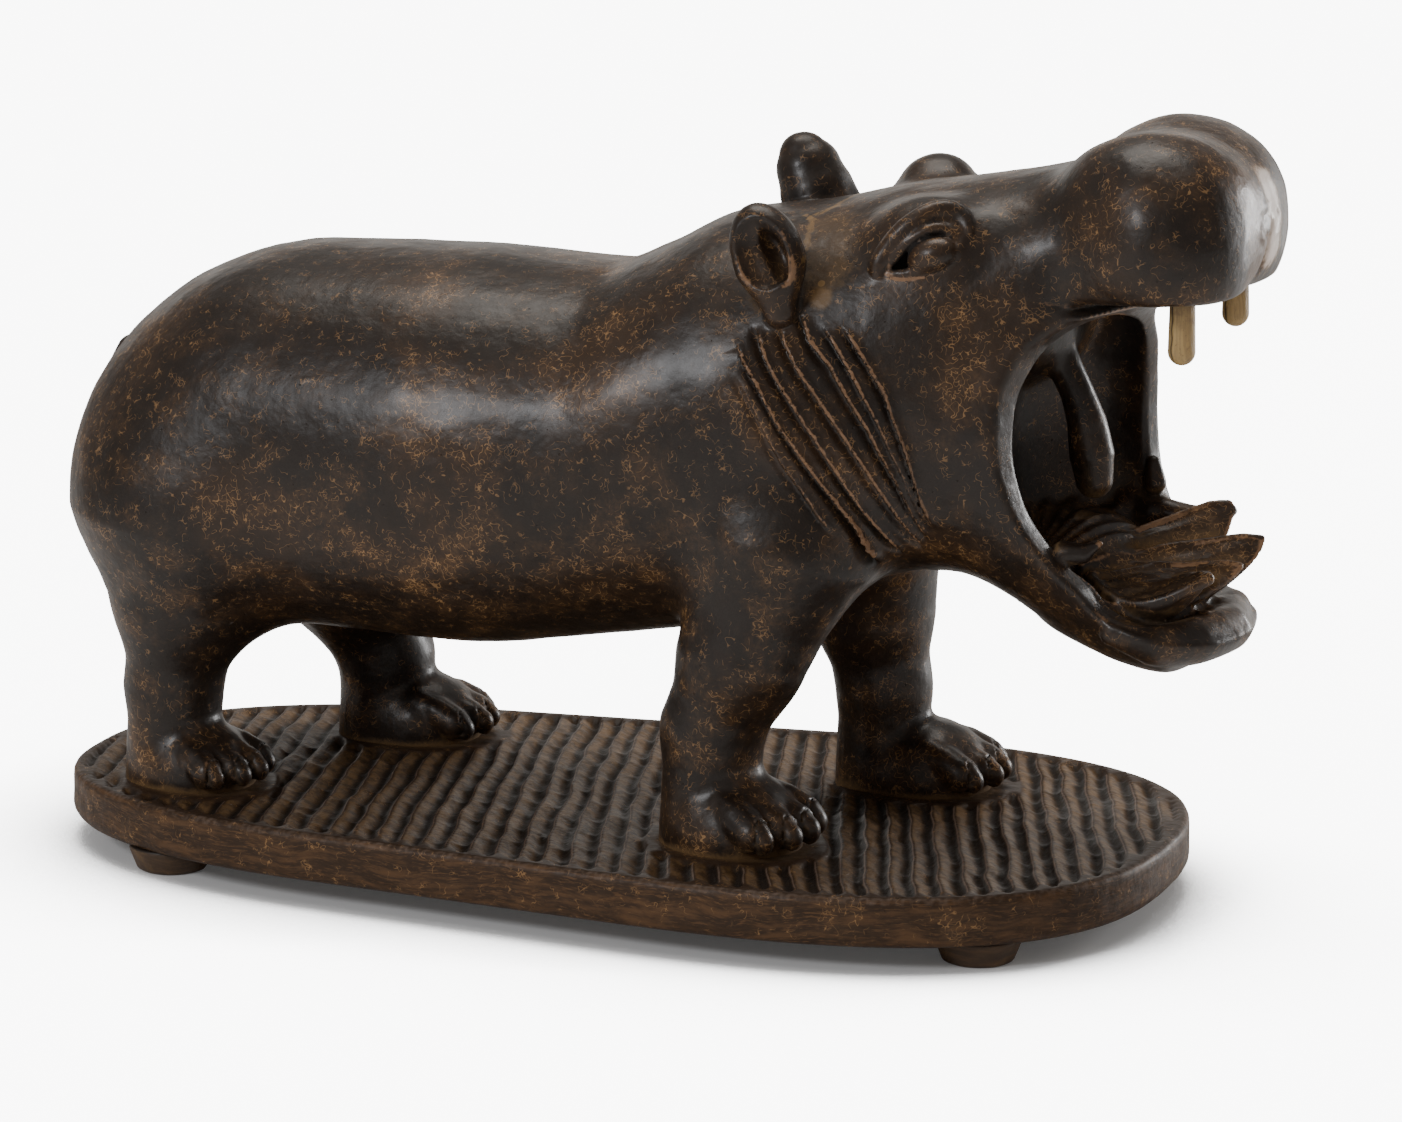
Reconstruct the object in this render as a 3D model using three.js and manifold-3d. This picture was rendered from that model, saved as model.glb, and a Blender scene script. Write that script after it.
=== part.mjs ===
// A hippopotamus carved from dark wood, standing open-mouthed on its plinth.
// Millimetres. +X runs from the rump to the muzzle, +Y to the animal's left, +Z up.
// The carving is worked out in its own frame, with z = 0 on the plinth's top face and x = y = 0 in
// the plinth's middle; the whole group is then moved so that the floor is z = 0.
import * as THREE from 'three';
import { mergeVertices } from 'three/addons/utils/BufferGeometryUtils.js';
import Module from 'manifold-3d';

const wasm = await Module();
wasm.setup();

// Driving dimensions of the plinth
const PLINTH = {
  halfLength: 240,
  halfWidth: 120,
  thickness: 20.5,
  frontRound: 207,
  rearRound: 151,
  fullness: 2.5,
  taper: 0.2,
  edgeRound: 3,
  margin: 7,
};
const GOUGE = { pitch: 10, depth: 1.9, slantRear: 0.2, slantFront: 0.37, footMargin: 6 };
const PAD = { radius: 18, foot: 15, height: 10.7 };
const PAD_PLACES = [
  ['pad_front_right', 185, -82],
  ['pad_front_left', 185, 82],
  ['pad_rear_right', -172, -72],
  ['pad_rear_left', -172, 72],
];
const GAP = 0.3;
const GRID = 3.4;
const ROUGH_TRIANGLES = 5200;
const CARVED_TRIANGLES = 6700;
const OUTLINE_POINTS = 52;
// How softly neighbouring forms run into each other
const BLEND = {
  lobe: 20,
  brow: 9,
  jaws: 14,
  neck: 20,
  hip: 14,
  knee: 10,
  ankle: 6,
  foot: 5,
  rim: 5,
  wall: 8,
  hollow: 3,
  tongue: 4,
};

// Driving dimensions of the animal: stations along X with the section's top, bottom and half width
const TRUNK = {
  x: [-130, -60, 0, 25, 50, 100, 150, 190],
  top: [224.5, 226.5, 222, 232.5, 246, 254, 262, 268],
  bottom: [64, 62, 70, 74, 78, 94, 114, 120],
  half: [85, 89, 86, 85, 83, 78, 66, 50],
  fullness: 2.15,
  front: 188,
  frontRound: 12,
};
const RUMP = { end: -238, length: 110, level: 122, tallPower: 1.9, widePower: 2.2 };
const UPPER = {
  x: [60, 100, 130, 160, 190, 212, 235, 255],
  top: [232, 249, 260, 265, 273, 284, 292, 292],
  bottom: [150, 150, 160, 175, 196, 208, 218, 222],
  half: [56, 58, 57, 53, 48, 50, 57, 58],
  fullness: 2.3,
  rear: 75,
  rearRound: 30,
};
const NOSE = { end: 277, length: 40, level: 256, droop: 0.6 };
const LOBE = { x: 246, y: 29, z: 250, r: [28, 29, 33] };
const NOSTRIL = { x: 226, y: 27, z: 272, r: [21, 17, 16] };
const NOTCH = { at: [279, 0, 232], r: [7, 3, 26], soft: 4 };
const JAW = {
  x: [140, 160, 180, 200, 220, 240, 258],
  bottom: [116, 109, 98, 86, 76.5, 74, 80],
  middle: [160, 165, 166, 164, 148, 112, 99],
  half: [58, 60, 61, 60, 57, 52, 45],
  fullness: 2.2,
  rear: 132,
  rearRound: 20,
};
const CHIN = { end: 274, length: 31 };
// Rear edge of the open mouth in side view, and how much further forward it lies on the left
const RIM = {
  z: [84, 92, 97, 115, 138, 158, 178, 196, 212, 221, 229, 231, 236],
  x: [300, 258, 236, 211, 193, 186, 184, 186, 194, 206, 226, 262, 300],
  twist: 0.3,
  twistRise: 0.0014,
  twistLevel: 186,
  near: 58,
};
const MOUTH = { wall: 12, at: [240, 0, 166], r: [74, 66, 74] };
const TONGUE = { at: [218, 2, 99], r: [36, 34, 17] };
// The floor's rise towards the throat, the wall above the hanging lobe, and the pit beside it
const MOUND = { at: [191, 12, 117.5], r: [31, 34, 14], soft: 7 };
const THROAT_WALL = { at: [174, 12, 212], r: [22, 36, 26], soft: 8 };
const THROAT_PIT = { at: [170, -24, 168], r: [22, 19, 34], soft: 5 };
const LIP = {
  path: [[226, -44, 95], [243, -38, 92], [255, -23, 91], [262, 0, 92], [257, 21, 94], [243, 36, 98]],
  radii: [3.5, 7.5, 9, 9, 8.5, 5],
  soft: 5,
};
const ROOT = [202, -14, 118];
const PETALS = [
  { tip: [253, 37, 133], half: 12.5, bank: 0.8, sag: 14, thick: 6 },
  { tip: [272, 17, 124], half: 12.5, bank: 0.75, sag: 14, thick: 6 },
  { tip: [268, -3, 117], half: 10, bank: 0.65, sag: 12, thick: 6 },
  { tip: [262, -24, 118], half: 13.5, bank: 0.3, sag: 11, thick: 8 },
];
const PENDANT = {
  path: [[180, 5, 206], [190, 6, 194], [196, 6, 182], [200, 7, 170], [202, 8, 157], [203, 8, 146], [203, 8, 139]],
  radii: [8, 7, 7, 8.2, 9.2, 8, 3.5],
};
const TAIL = {
  path: [[-220, 0, 172], [-231, 0, 155], [-235.5, 0, 138], [-236, 0, 120]],
  radii: [7, 5.5, 4.5, 3],
};
const BROWS = [
  { side: -1, at: [149, -37, 246], r: [25, 19, 19], eye: [2.5, 0] },
  { side: 1, at: [126, 39, 252], r: [18, 17, 18], eye: [1.5, -11] },
];
const LEGS = [
  {
    hip: [-174, -42, 110],
    knee: [-178, -45, 76],
    ankle: [-183, -44, 40],
    r: [47, 26, 19.5],
    ahead: 14,
    turn: -14,
    size: 0.88,
  },
  {
    hip: [88, -48, 120],
    knee: [76, -56, 78],
    ankle: [63, -57, 46],
    r: [38, 24.5, 20],
    ahead: 13,
    turn: -14,
    size: 1,
  },
  {
    hip: [-162, 44, 110],
    knee: [-143, 50, 68],
    ankle: [-129, 56, 34],
    r: [44, 25, 19.5],
    ahead: 17,
    turn: 8,
    size: 0.92,
  },
  {
    hip: [92, 46, 118],
    knee: [94, 52, 76],
    ankle: [99, 53, 42],
    r: [38, 24, 19],
    ahead: 21,
    turn: 2,
    size: 0.96,
  },
];
const FOOT = { r: [29, 26.5, 25], sole: 5, back: 2, flare: 1.5 };
const SOLE = 7;
const ABOVE_LEGS = 190;
const TOE = { count: 4, pitch: 12.6, reach: 30, drop: 2.6, radius: 7.6 };
const FOLDS = 7;
const FOLD_REAR = [[79, 199], [86, 183], [98, 163], [112, 143], [121, 131], [133, 121]];
const FOLD_FRONT = [[108, 224], [127, 208], [139, 187], [147, 164], [152, 142], [157, 128]];
const FOLD = { radius: 3.7, sunk: 0.6 };
const EYE = {
  tilt: 28,
  taper: 0.26,
  ball: [9.2, 7.5, 6.8],
  brow: [19.5, 17, 9.5],
  fold: [14.5, 10.5, 6],
  lower: [17, 8, 9.5],
};
const EAR = {
  at: [91, -70, 243],
  tilt: 24,
  cup: [15, 13, 22.5],
  hollow: [9.5, 15, 17],
  root: [[88, -70, 226], [98, -69, 222]],
  left: [[80, 44, 220], [77, 44, 236], [71, 45, 250], [67, 46, 259], [65, 46, 267], [64, 46, 273.5]],
  leftRadii: [19.5, 17.5, 15.6, 13.8, 10, 4.5],
};
const TOOTH = { radius: 5.6, near: [249, -28, 203, 229], far: [255, 28, 209, 229] };

// Numbers and joins
const clamp = (v, lo, hi) => Math.min(Math.max(v, lo), hi);
const norm = (a, b, c = 0) => Math.sqrt(a * a + b * b + c * c);

function curve(xs, ys) {
  const n = xs.length;
  const rise = ys.slice(1).map((y, i) => (y - ys[i]) / (xs[i + 1] - xs[i]));
  const slope = ys.map((y, i) => {
    if (i === 0) return rise[0];
    if (i === n - 1) return rise[n - 2];
    if (rise[i - 1] * rise[i] <= 0) return 0;
    const a = xs[i] - xs[i - 1];
    const b = xs[i + 1] - xs[i];
    return (rise[i - 1] * b + rise[i] * a) / (a + b);
  });
  return (value) => {
    const x = clamp(value, xs[0], xs[n - 1]);
    let i = 0;
    while (i < n - 2 && x > xs[i + 1]) i += 1;
    const h = xs[i + 1] - xs[i];
    const t = (x - xs[i]) / h;
    const t2 = t * t;
    const t3 = t2 * t;
    const from = (2 * t3 - 3 * t2 + 1) * ys[i] + (t3 - 2 * t2 + t) * h * slope[i];
    return from + (3 * t2 - 2 * t3) * ys[i + 1] + (t3 - t2) * h * slope[i + 1];
  };
}

function join(a, b, k) {
  const h = clamp(0.5 + (0.5 * (b - a)) / k, 0, 1);
  return b * (1 - h) + a * h - k * h * (1 - h);
}
const cut = (a, b, k) => -join(-a, b, k);
const both = (a, b, k) => -join(-a, -b, k);

// Distances, negative inside
function oval(x, y, z, c, r) {
  const px = x - c[0];
  const py = y - c[1];
  const pz = z - c[2];
  const near = norm(px / r[0], py / r[1], pz / r[2]);
  const slope = norm(px / r[0] ** 2, py / r[1] ** 2, pz / r[2] ** 2) + 1e-9;
  return (near * (near - 1)) / slope;
}

function rod(x, y, z, a, b, ra, rb) {
  const bx = b[0] - a[0];
  const by = b[1] - a[1];
  const bz = b[2] - a[2];
  const along = (x - a[0]) * bx + (y - a[1]) * by + (z - a[2]) * bz;
  const t = clamp(along / (bx * bx + by * by + bz * bz), 0, 1);
  const away = norm(x - a[0] - bx * t, y - a[1] - by * t, z - a[2] - bz * t);
  return away - (ra + (rb - ra) * t);
}

function section(y, z, middle, half, height, fullness) {
  const a = Math.abs(y);
  const b = Math.abs(z - middle);
  const k = ((a / half) ** fullness + (b / height) ** fullness) ** (1 / fullness);
  const ga = a ** (fullness - 1) / half ** fullness;
  const gb = b ** (fullness - 1) / height ** fullness;
  return (k - 1) / (norm(ga, gb) * Math.max(k, 1e-6) ** (1 - fullness) + 1e-6);
}

// Trunk, from the rounded rump to the cheeks
const trunkTop = curve(TRUNK.x, TRUNK.top);
const trunkBottom = curve(TRUNK.x, TRUNK.bottom);
const trunkHalf = curve(TRUNK.x, TRUNK.half);

function trunk(x, y, z) {
  const u = clamp((RUMP.end + RUMP.length - x) / RUMP.length, 0, 0.9999);
  const tall = (1 - u ** RUMP.tallPower) ** (1 / RUMP.tallPower);
  const wide = (1 - u ** RUMP.widePower) ** (1 / RUMP.widePower);
  const top = RUMP.level + (trunkTop(x) - RUMP.level) * tall;
  const bottom = RUMP.level + (trunkBottom(x) - RUMP.level) * tall;
  const half = Math.max(trunkHalf(x) * wide, 4);
  const f = section(y, z, (top + bottom) / 2, half, Math.max((top - bottom) / 2, 4), TRUNK.fullness);
  return both(Math.max(f, RUMP.end - x), x - TRUNK.front, TRUNK.frontRound);
}

// Upper head with its two muzzle lobes
const upperTop = curve(UPPER.x, UPPER.top);
const upperBottom = curve(UPPER.x, UPPER.bottom);
const upperHalf = curve(UPPER.x, UPPER.half);

function upperHead(x, y, z) {
  const u = clamp((x - NOSE.end + NOSE.length) / NOSE.length, 0, 0.9999);
  const k = Math.sqrt(1 - u ** 2.2);
  const top = upperTop(x);
  const bottom = upperBottom(x);
  const level = (top + bottom) / 2;
  const middle = level + (NOSE.level - level) * (1 - k) * NOSE.droop;
  const half = Math.max(upperHalf(x) * k, 3);
  let f = section(y, z, middle, half, Math.max(((top - bottom) / 2) * k, 3), UPPER.fullness);
  f = both(Math.max(f, x - NOSE.end), UPPER.rear - x, UPPER.rearRound);
  for (const side of [-1, 1]) {
    f = join(f, oval(x, y, z, [LOBE.x, side * LOBE.y, LOBE.z], LOBE.r), BLEND.lobe);
    f = join(f, oval(x, y, z, [NOSTRIL.x, side * NOSTRIL.y, NOSTRIL.z], NOSTRIL.r), BLEND.lobe);
  }
  return f;
}

// Lower jaw and cheeks
const jawBottom = curve(JAW.x, JAW.bottom);
const jawMiddle = curve(JAW.x, JAW.middle);
const jawHalf = curve(JAW.x, JAW.half);

function lowerJaw(x, y, z) {
  const u = clamp((x - CHIN.end + CHIN.length) / CHIN.length, 0, 0.9999);
  const k = Math.sqrt(1 - u ** 2.2);
  const middle = jawMiddle(x);
  const height = Math.max((middle - jawBottom(x)) * Math.max(k, 0.1), 3);
  const f = section(y, z, middle, Math.max(jawHalf(x) * k, 3), height, JAW.fullness);
  return both(Math.max(f, x - CHIN.end), JAW.rear - x, JAW.rearRound);
}

// What is open between the jaws, and the hollow behind it
const rimAt = curve(RIM.z, RIM.x);

function gape(x, y, z) {
  const low = RIM.z[0];
  const high = RIM.z[RIM.z.length - 1];
  const level = clamp(z, low, high);
  const slope = (rimAt(clamp(z + 1, low, high)) - rimAt(clamp(z - 1, low, high))) / 2;
  const twist = RIM.twist + RIM.twistRise * (level - RIM.twistLevel);
  const behind = rimAt(level) - (x - twist * (y + RIM.near));
  return Math.max(behind / Math.sqrt(1 + slope * slope), low - z, z - high - 4);
}

function mouthHollow(x, y, z, outer) {
  const throat = oval(x - (RIM.twist / 2) * y, y, z, MOUTH.at, MOUTH.r);
  return both(outer + MOUTH.wall, throat, BLEND.wall);
}

// Legs and feet
function leg(x, y, z, l) {
  let f = rod(x, y, z, l.hip, l.knee, l.r[0], l.r[1]);
  f = join(f, rod(x, y, z, l.knee, l.ankle, l.r[1], l.r[2]), BLEND.knee);
  const ground = [l.ankle[0], l.ankle[1], 0];
  return join(f, rod(x, y, z, l.ankle, ground, l.r[2], l.r[2] + FOOT.flare), BLEND.ankle);
}

function alongFoot(x, y, l) {
  const angle = THREE.MathUtils.degToRad(l.turn);
  const c = Math.cos(angle);
  const s = Math.sin(angle);
  const dx = x - l.ankle[0];
  const dy = y - l.ankle[1];
  return [(dx * c + dy * s) / l.size, (dy * c - dx * s) / l.size];
}

function foot(x, y, z, l) {
  const [u, v] = alongFoot(x, y, l);
  return oval(u, v, z / l.size, [l.ahead / l.size - FOOT.back, 0, FOOT.sole], FOOT.r) * l.size;
}

// The animal without its small features, down into the plinth
function headAndTrunk(x, y, z) {
  const head = join(upperHead(x, y, z), lowerJaw(x, y, z), BLEND.jaws);
  return join(trunk(x, y, z), head, BLEND.neck);
}

function browed(x, y, z, f) {
  return BROWS.reduce((g, b) => join(g, oval(x, y, z, b.at, b.r), BLEND.brow), f);
}

function insideMouth(x, y, z, f) {
  let g = cut(f, oval(x, y, z, THROAT_PIT.at, THROAT_PIT.r), THROAT_PIT.soft);
  g = join(g, oval(x, y, z, THROAT_WALL.at, THROAT_WALL.r), THROAT_WALL.soft);
  g = join(g, oval(x, y, z, MOUND.at, MOUND.r), MOUND.soft);
  let lip = Infinity;
  for (let i = 1; i < LIP.path.length; i += 1) {
    lip = Math.min(lip, rod(x, y, z, LIP.path[i - 1], LIP.path[i], LIP.radii[i - 1], LIP.radii[i]));
  }
  return join(g, lip, LIP.soft);
}

function animal(x, y, z) {
  const outer = headAndTrunk(x, y, z);
  let f = browed(x, y, z, outer);
  if (z < ABOVE_LEGS) {
    for (const l of LEGS) f = join(f, leg(x, y, z, l), BLEND.hip);
    for (const l of LEGS) f = join(f, foot(x, y, z, l), BLEND.foot);
  }
  f = cut(f, gape(x, y, z), BLEND.rim);
  f = cut(f, mouthHollow(x, y, z, outer), BLEND.hollow);
  f = join(f, oval(x, y, z, TONGUE.at, TONGUE.r), BLEND.tongue);
  f = cut(f, oval(x, y, z, NOTCH.at, NOTCH.r), NOTCH.soft);
  if (x > 130 && z > 60) f = insideMouth(x, y, z, f);
  return Math.max(f, -SOLE - z);
}

// Skin of a form: the cells of a grid are split into six tetrahedra, which always closes
const BOX = { from: [-246, -100, -12], to: [288, 100, 306] };
const CORNERS = [[0, 0, 0], [1, 0, 0], [1, 1, 0], [0, 1, 0], [0, 0, 1], [1, 0, 1], [1, 1, 1], [0, 1, 1]];
const TETRAHEDRA = [[0, 5, 1, 6], [0, 1, 2, 6], [0, 2, 3, 6], [0, 3, 7, 6], [0, 7, 4, 6], [0, 4, 5, 6]];

function skin(form, box, step) {
  const n = box.from.map((v, a) => Math.ceil((box.to[a] - v) / step) + 1);
  const at = (i, j, k) => (k * n[1] + j) * n[0] + i;
  const value = new Float32Array(n[0] * n[1] * n[2]);
  for (let k = 0; k < n[2]; k += 1) {
    for (let j = 0; j < n[1]; j += 1) {
      for (let i = 0; i < n[0]; i += 1) {
        const f = form(box.from[0] + i * step, box.from[1] + j * step, box.from[2] + k * step);
        value[at(i, j, k)] = Math.abs(f) < 1e-3 ? 1e-3 : f;
      }
    }
  }
  const points = [];
  const faces = [];
  const known = new Map();
  const crossing = (a, b) => {
    const lo = Math.min(a, b);
    const hi = Math.max(a, b);
    const key = lo * value.length + hi;
    if (known.has(key)) return known.get(key);
    const t = clamp(value[lo] / (value[lo] - value[hi]), 0.02, 0.98);
    const place = (index) => {
      const i = index % n[0];
      const j = Math.floor(index / n[0]) % n[1];
      const k = Math.floor(index / (n[0] * n[1]));
      return [i, j, k].map((v, axis) => box.from[axis] + v * step);
    };
    const p = place(lo);
    const q = place(hi);
    points.push(p.map((v, axis) => v + (q[axis] - v) * t));
    known.set(key, points.length - 1);
    return points.length - 1;
  };
  for (let k = 0; k < n[2] - 1; k += 1) {
    for (let j = 0; j < n[1] - 1; j += 1) {
      for (let i = 0; i < n[0] - 1; i += 1) {
        const cell = CORNERS.map((c) => at(i + c[0], j + c[1], k + c[2]));
        const inside = cell.filter((c) => value[c] < 0).length;
        if (inside === 0 || inside === 8) continue;
        for (const tetra of TETRAHEDRA) wrap(tetra.map((c) => cell[c]), value, crossing, faces);
      }
    }
  }
  return { points, faces };
}

// Facets of one tetrahedron, turned to face out
function wrap(corner, value, crossing, faces) {
  const wet = corner.filter((c) => value[c] < 0);
  const dry = corner.filter((c) => value[c] >= 0);
  if (wet.length === 0 || dry.length === 0) return;
  // the order of the corners tells which way round the facet goes
  const order = [...wet, ...dry].map((c) => corner.indexOf(c));
  let turns = 0;
  for (let a = 0; a < 4; a += 1) {
    for (let b = a + 1; b < 4; b += 1) {
      if (order[a] > order[b]) turns += 1;
    }
  }
  const even = turns % 2 === 0;
  const add = (a, b, c) => faces.push(even ? [a, b, c] : [a, c, b]);
  if (wet.length === 1) {
    add(...dry.map((d) => crossing(wet[0], d)));
  } else if (wet.length === 3) {
    add(...wet.map((w) => crossing(w, dry[0])));
  } else {
    const [a, b] = wet;
    const [c, d] = dry;
    const [ac, ad, bd, bc] = [crossing(a, c), crossing(a, d), crossing(b, d), crossing(b, c)];
    add(ac, ad, bd);
    add(ac, bd, bc);
  }
}

// Thin a closed skin to the wanted number of facets by folding away its least needed edges
function plane(a, b, c) {
  const normal = new THREE.Vector3().subVectors(b, a).cross(new THREE.Vector3().subVectors(c, a));
  const area = normal.length();
  if (area > 0) normal.divideScalar(area);
  return { normal, offset: -normal.dot(a), area };
}

function addPlane(q, p) {
  const { x, y, z } = p.normal;
  const d = p.offset;
  const w = p.area;
  const terms = [x * x, x * y, x * z, x * d, y * y, y * z, y * d, z * z, z * d, d * d];
  terms.forEach((term, i) => {
    q[i] += w * term;
  });
}

function misfit(q, p) {
  const { x, y, z } = p;
  return q[0] * x * x + q[4] * y * y + q[7] * z * z + q[9]
    + 2 * (q[1] * x * y + q[2] * x * z + q[5] * y * z + q[3] * x + q[6] * y + q[8] * z);
}

function bestPoint(q, a, b) {
  const matrix = new THREE.Matrix3().set(q[0], q[1], q[2], q[1], q[4], q[5], q[2], q[5], q[7]);
  const middle = a.clone().lerp(b, 0.5);
  const span = a.distanceTo(b);
  const scale = (q[0] + q[4] + q[7]) / 3;
  if (Math.abs(matrix.determinant()) > 1e-5 * scale ** 3) {
    const p = new THREE.Vector3(-q[3], -q[6], -q[8]).applyMatrix3(matrix.invert());
    if (p.distanceTo(middle) < 1.5 * span) return p;
  }
  return [a, b, middle].reduce((best, p) => (misfit(q, p) < misfit(q, best) ? p : best)).clone();
}

class Heap {
  constructor() {
    this.items = [];
  }

  push(item) {
    const { items } = this;
    let i = items.length;
    items.push(item);
    while (i > 0) {
      const up = (i - 1) >> 1;
      if (items[up].cost <= item.cost) break;
      items[i] = items[up];
      i = up;
    }
    items[i] = item;
  }

  pop() {
    const { items } = this;
    const first = items[0];
    const item = items.pop();
    const n = items.length;
    if (n === 0) return first;
    let i = 0;
    for (;;) {
      let down = 2 * i + 1;
      if (down >= n) break;
      if (down + 1 < n && items[down + 1].cost < items[down].cost) down += 1;
      if (items[down].cost >= item.cost) break;
      items[i] = items[down];
      i = down;
    }
    items[i] = item;
    return first;
  }
}

function thin(surface, wanted) {
  const points = surface.points.map((p) => new THREE.Vector3(...p));
  const faces = surface.faces.map((f) => [...f]);
  const live = faces.map(() => true);
  const around = points.map(() => new Set());
  const quadrics = points.map(() => new Float64Array(10));
  faces.forEach((face, i) => {
    const p = plane(...face.map((v) => points[v]));
    for (const v of face) {
      around[v].add(i);
      addPlane(quadrics[v], p);
    }
  });
  const age = points.map(() => 0);
  const neighbours = (v) => {
    const found = new Set();
    for (const i of around[v]) {
      for (const w of faces[i]) found.add(w);
    }
    found.delete(v);
    return found;
  };
  const heap = new Heap();
  const offer = (a, b) => {
    const q = quadrics[a].map((v, i) => v + quadrics[b][i]);
    const p = bestPoint(q, points[a], points[b]);
    const cost = misfit(q, p) + 1e-3 * points[a].distanceToSquared(points[b]);
    heap.push({ cost, a, b, p, q, age: age[a] + age[b] });
  };
  points.forEach((_, v) => {
    for (const w of neighbours(v)) if (v < w) offer(v, w);
  });
  const flips = (v, other, p) => {
    for (const i of around[v]) {
      const face = faces[i];
      if (face.includes(other)) continue;
      const before = plane(...face.map((w) => points[w]));
      const after = plane(...face.map((w) => (w === v ? p : points[w])));
      if (after.area < 1e-3 || before.normal.dot(after.normal) < 0.3) return true;
      const longest = Math.max(...face.map((w, k) => {
        const next = face[(k + 1) % 3];
        return (w === v ? p : points[w]).distanceTo(next === v ? p : points[next]);
      }));
      if (after.area < 0.03 * longest * longest) return true;
    }
    return false;
  };
  let count = faces.length;
  while (count > wanted && heap.items.length > 0) {
    const { a, b, p, q, age: stamp } = heap.pop();
    if (!points[a] || !points[b] || stamp !== age[a] + age[b]) continue;
    const near = neighbours(a);
    if (!near.has(b)) continue;
    const shared = [...neighbours(b)].filter((w) => near.has(w));
    if (shared.length !== 2 || flips(a, b, p) || flips(b, a, p)) continue;
    points[a] = p;
    quadrics[a] = q;
    for (const i of around[b]) {
      const face = faces[i];
      if (face.includes(a)) {
        live[i] = false;
        count -= 1;
        face.filter((w) => w !== b).forEach((w) => around[w].delete(i));
      } else {
        face[face.indexOf(b)] = a;
        around[a].add(i);
      }
    }
    points[b] = null;
    around[b].clear();
    age[a] += 1;
    for (const w of neighbours(a)) offer(a, w);
  }
  const kept = faces.filter((_, i) => live[i]);
  return { points: points.map((p) => (p ? p.toArray() : null)), faces: kept };
}

// Between plain lists, geometries and solids that can be joined and cut
function geometryOf({ points, faces }) {
  const number = new Map();
  const position = [];
  const index = faces.flat().map((v) => {
    if (!number.has(v)) {
      number.set(v, number.size);
      position.push(...points[v]);
    }
    return number.get(v);
  });
  const geometry = new THREE.BufferGeometry();
  geometry.setAttribute('position', new THREE.Float32BufferAttribute(position, 3));
  geometry.setIndex(index);
  return geometry;
}

function solidOf(source) {
  let geometry = source.clone();
  geometry.deleteAttribute('normal');
  geometry.deleteAttribute('uv');
  geometry = mergeVertices(geometry, 1e-3);
  return new wasm.Manifold(new wasm.Mesh({
    numProp: 3,
    vertProperties: new Float32Array(geometry.attributes.position.array),
    triVerts: new Uint32Array(geometry.index.array),
  }));
}

function listsOf(solid) {
  const { vertProperties, triVerts } = solid.getMesh();
  const threes = (values) => {
    const count = values.length / 3;
    return Array.from({ length: count }, (_, i) => [...values.slice(3 * i, 3 * i + 3)]);
  };
  return { points: threes(vertProperties), faces: threes(triVerts) };
}

function meshOf(name, solid, material) {
  const { vertProperties, triVerts } = solid.getMesh();
  const geometry = new THREE.BufferGeometry();
  geometry.setAttribute('position', new THREE.BufferAttribute(new Float32Array(vertProperties), 3));
  geometry.setIndex(new THREE.BufferAttribute(new Uint32Array(triVerts), 1));
  geometry.computeVertexNormals();
  const mesh = new THREE.Mesh(geometry, material);
  mesh.name = name;
  return mesh;
}

// Plinth: a long rounded board, a little wider in front
function plinthOutline(inset, count) {
  const a = PLINTH.halfLength - inset;
  return Array.from({ length: count }, (_, i) => {
    const angle = (2 * Math.PI * i) / count;
    const c = Math.cos(angle);
    const s = Math.sin(angle);
    const power = 2 / PLINTH.fullness;
    const round = c > 0 ? PLINTH.frontRound : PLINTH.rearRound;
    const x = Math.sign(c) * (a - round + round * Math.abs(c) ** power);
    const y = Math.sign(s) * Math.abs(s) ** power * (PLINTH.halfWidth - inset);
    return [x, y * (1 + (PLINTH.taper * x) / a)];
  });
}

function stack(rings) {
  const count = rings[0].length;
  const points = rings.flat();
  const faces = [];
  for (let r = 0; r < rings.length - 1; r += 1) {
    for (let i = 0; i < count; i += 1) {
      const a = r * count + i;
      const b = r * count + ((i + 1) % count);
      faces.push([a, b, b + count], [a, b + count, a + count]);
    }
  }
  const last = (rings.length - 1) * count;
  for (let i = 1; i < count - 1; i += 1) {
    faces.push([0, i + 1, i], [last, last + i, last + i + 1]);
  }
  return geometryOf({ points, faces });
}

function board() {
  const r = PLINTH.edgeRound;
  const under = -PLINTH.thickness;
  const levels = [[r, under], [r * 0.3, under + 0.7 * r], [0, under + 2 * r]];
  levels.push([0, -r], [r * 0.3, -r * 0.3], [r, 0]);
  return stack(levels.map(([inset, z]) => plinthOutline(inset, OUTLINE_POINTS).map(([x, y]) => [x, y, z])));
}

// Small carved features, each a closed body that is joined to the animal
function sweep(path, radii, sides) {
  const rings = path.map((p, i) => {
    const ahead = path[Math.min(i + 1, path.length - 1)];
    const behind = path[Math.max(i - 1, 0)];
    const along = new THREE.Vector3().subVectors(ahead, behind).normalize();
    const across = new THREE.Vector3(0, 1, 0).cross(along).normalize();
    const out = new THREE.Vector3().crossVectors(along, across);
    return Array.from({ length: sides }, (_, k) => {
      const t = (2 * Math.PI * k) / sides;
      const rim = across.clone().multiplyScalar(Math.cos(t)).addScaledVector(out, Math.sin(t));
      return p.clone().addScaledVector(rim, radii[i]).toArray();
    });
  });
  return solidOf(stack(rings));
}

function egg(at, r, turn = 0) {
  const geometry = new THREE.SphereGeometry(1, 12, 8);
  geometry.scale(...r);
  geometry.rotateY(THREE.MathUtils.degToRad(turn));
  geometry.translate(...at);
  return solidOf(geometry);
}

const vectors = (list) => list.map((p) => new THREE.Vector3(...p));

// Where the flank is met at a given place in side view, from the right (side -1) or left (side 1)
function flank(x, z, side) {
  const f = (y) => browed(x, side * y, z, headAndTrunk(x, side * y, z));
  let out = 110;
  while (out > 4 && f(out) > 0) out -= 2;
  let inside = out;
  out += 2;
  for (let i = 0; i < 12; i += 1) {
    const middle = (inside + out) / 2;
    if (f(middle) > 0) out = middle;
    else inside = middle;
  }
  return side * out;
}

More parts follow.
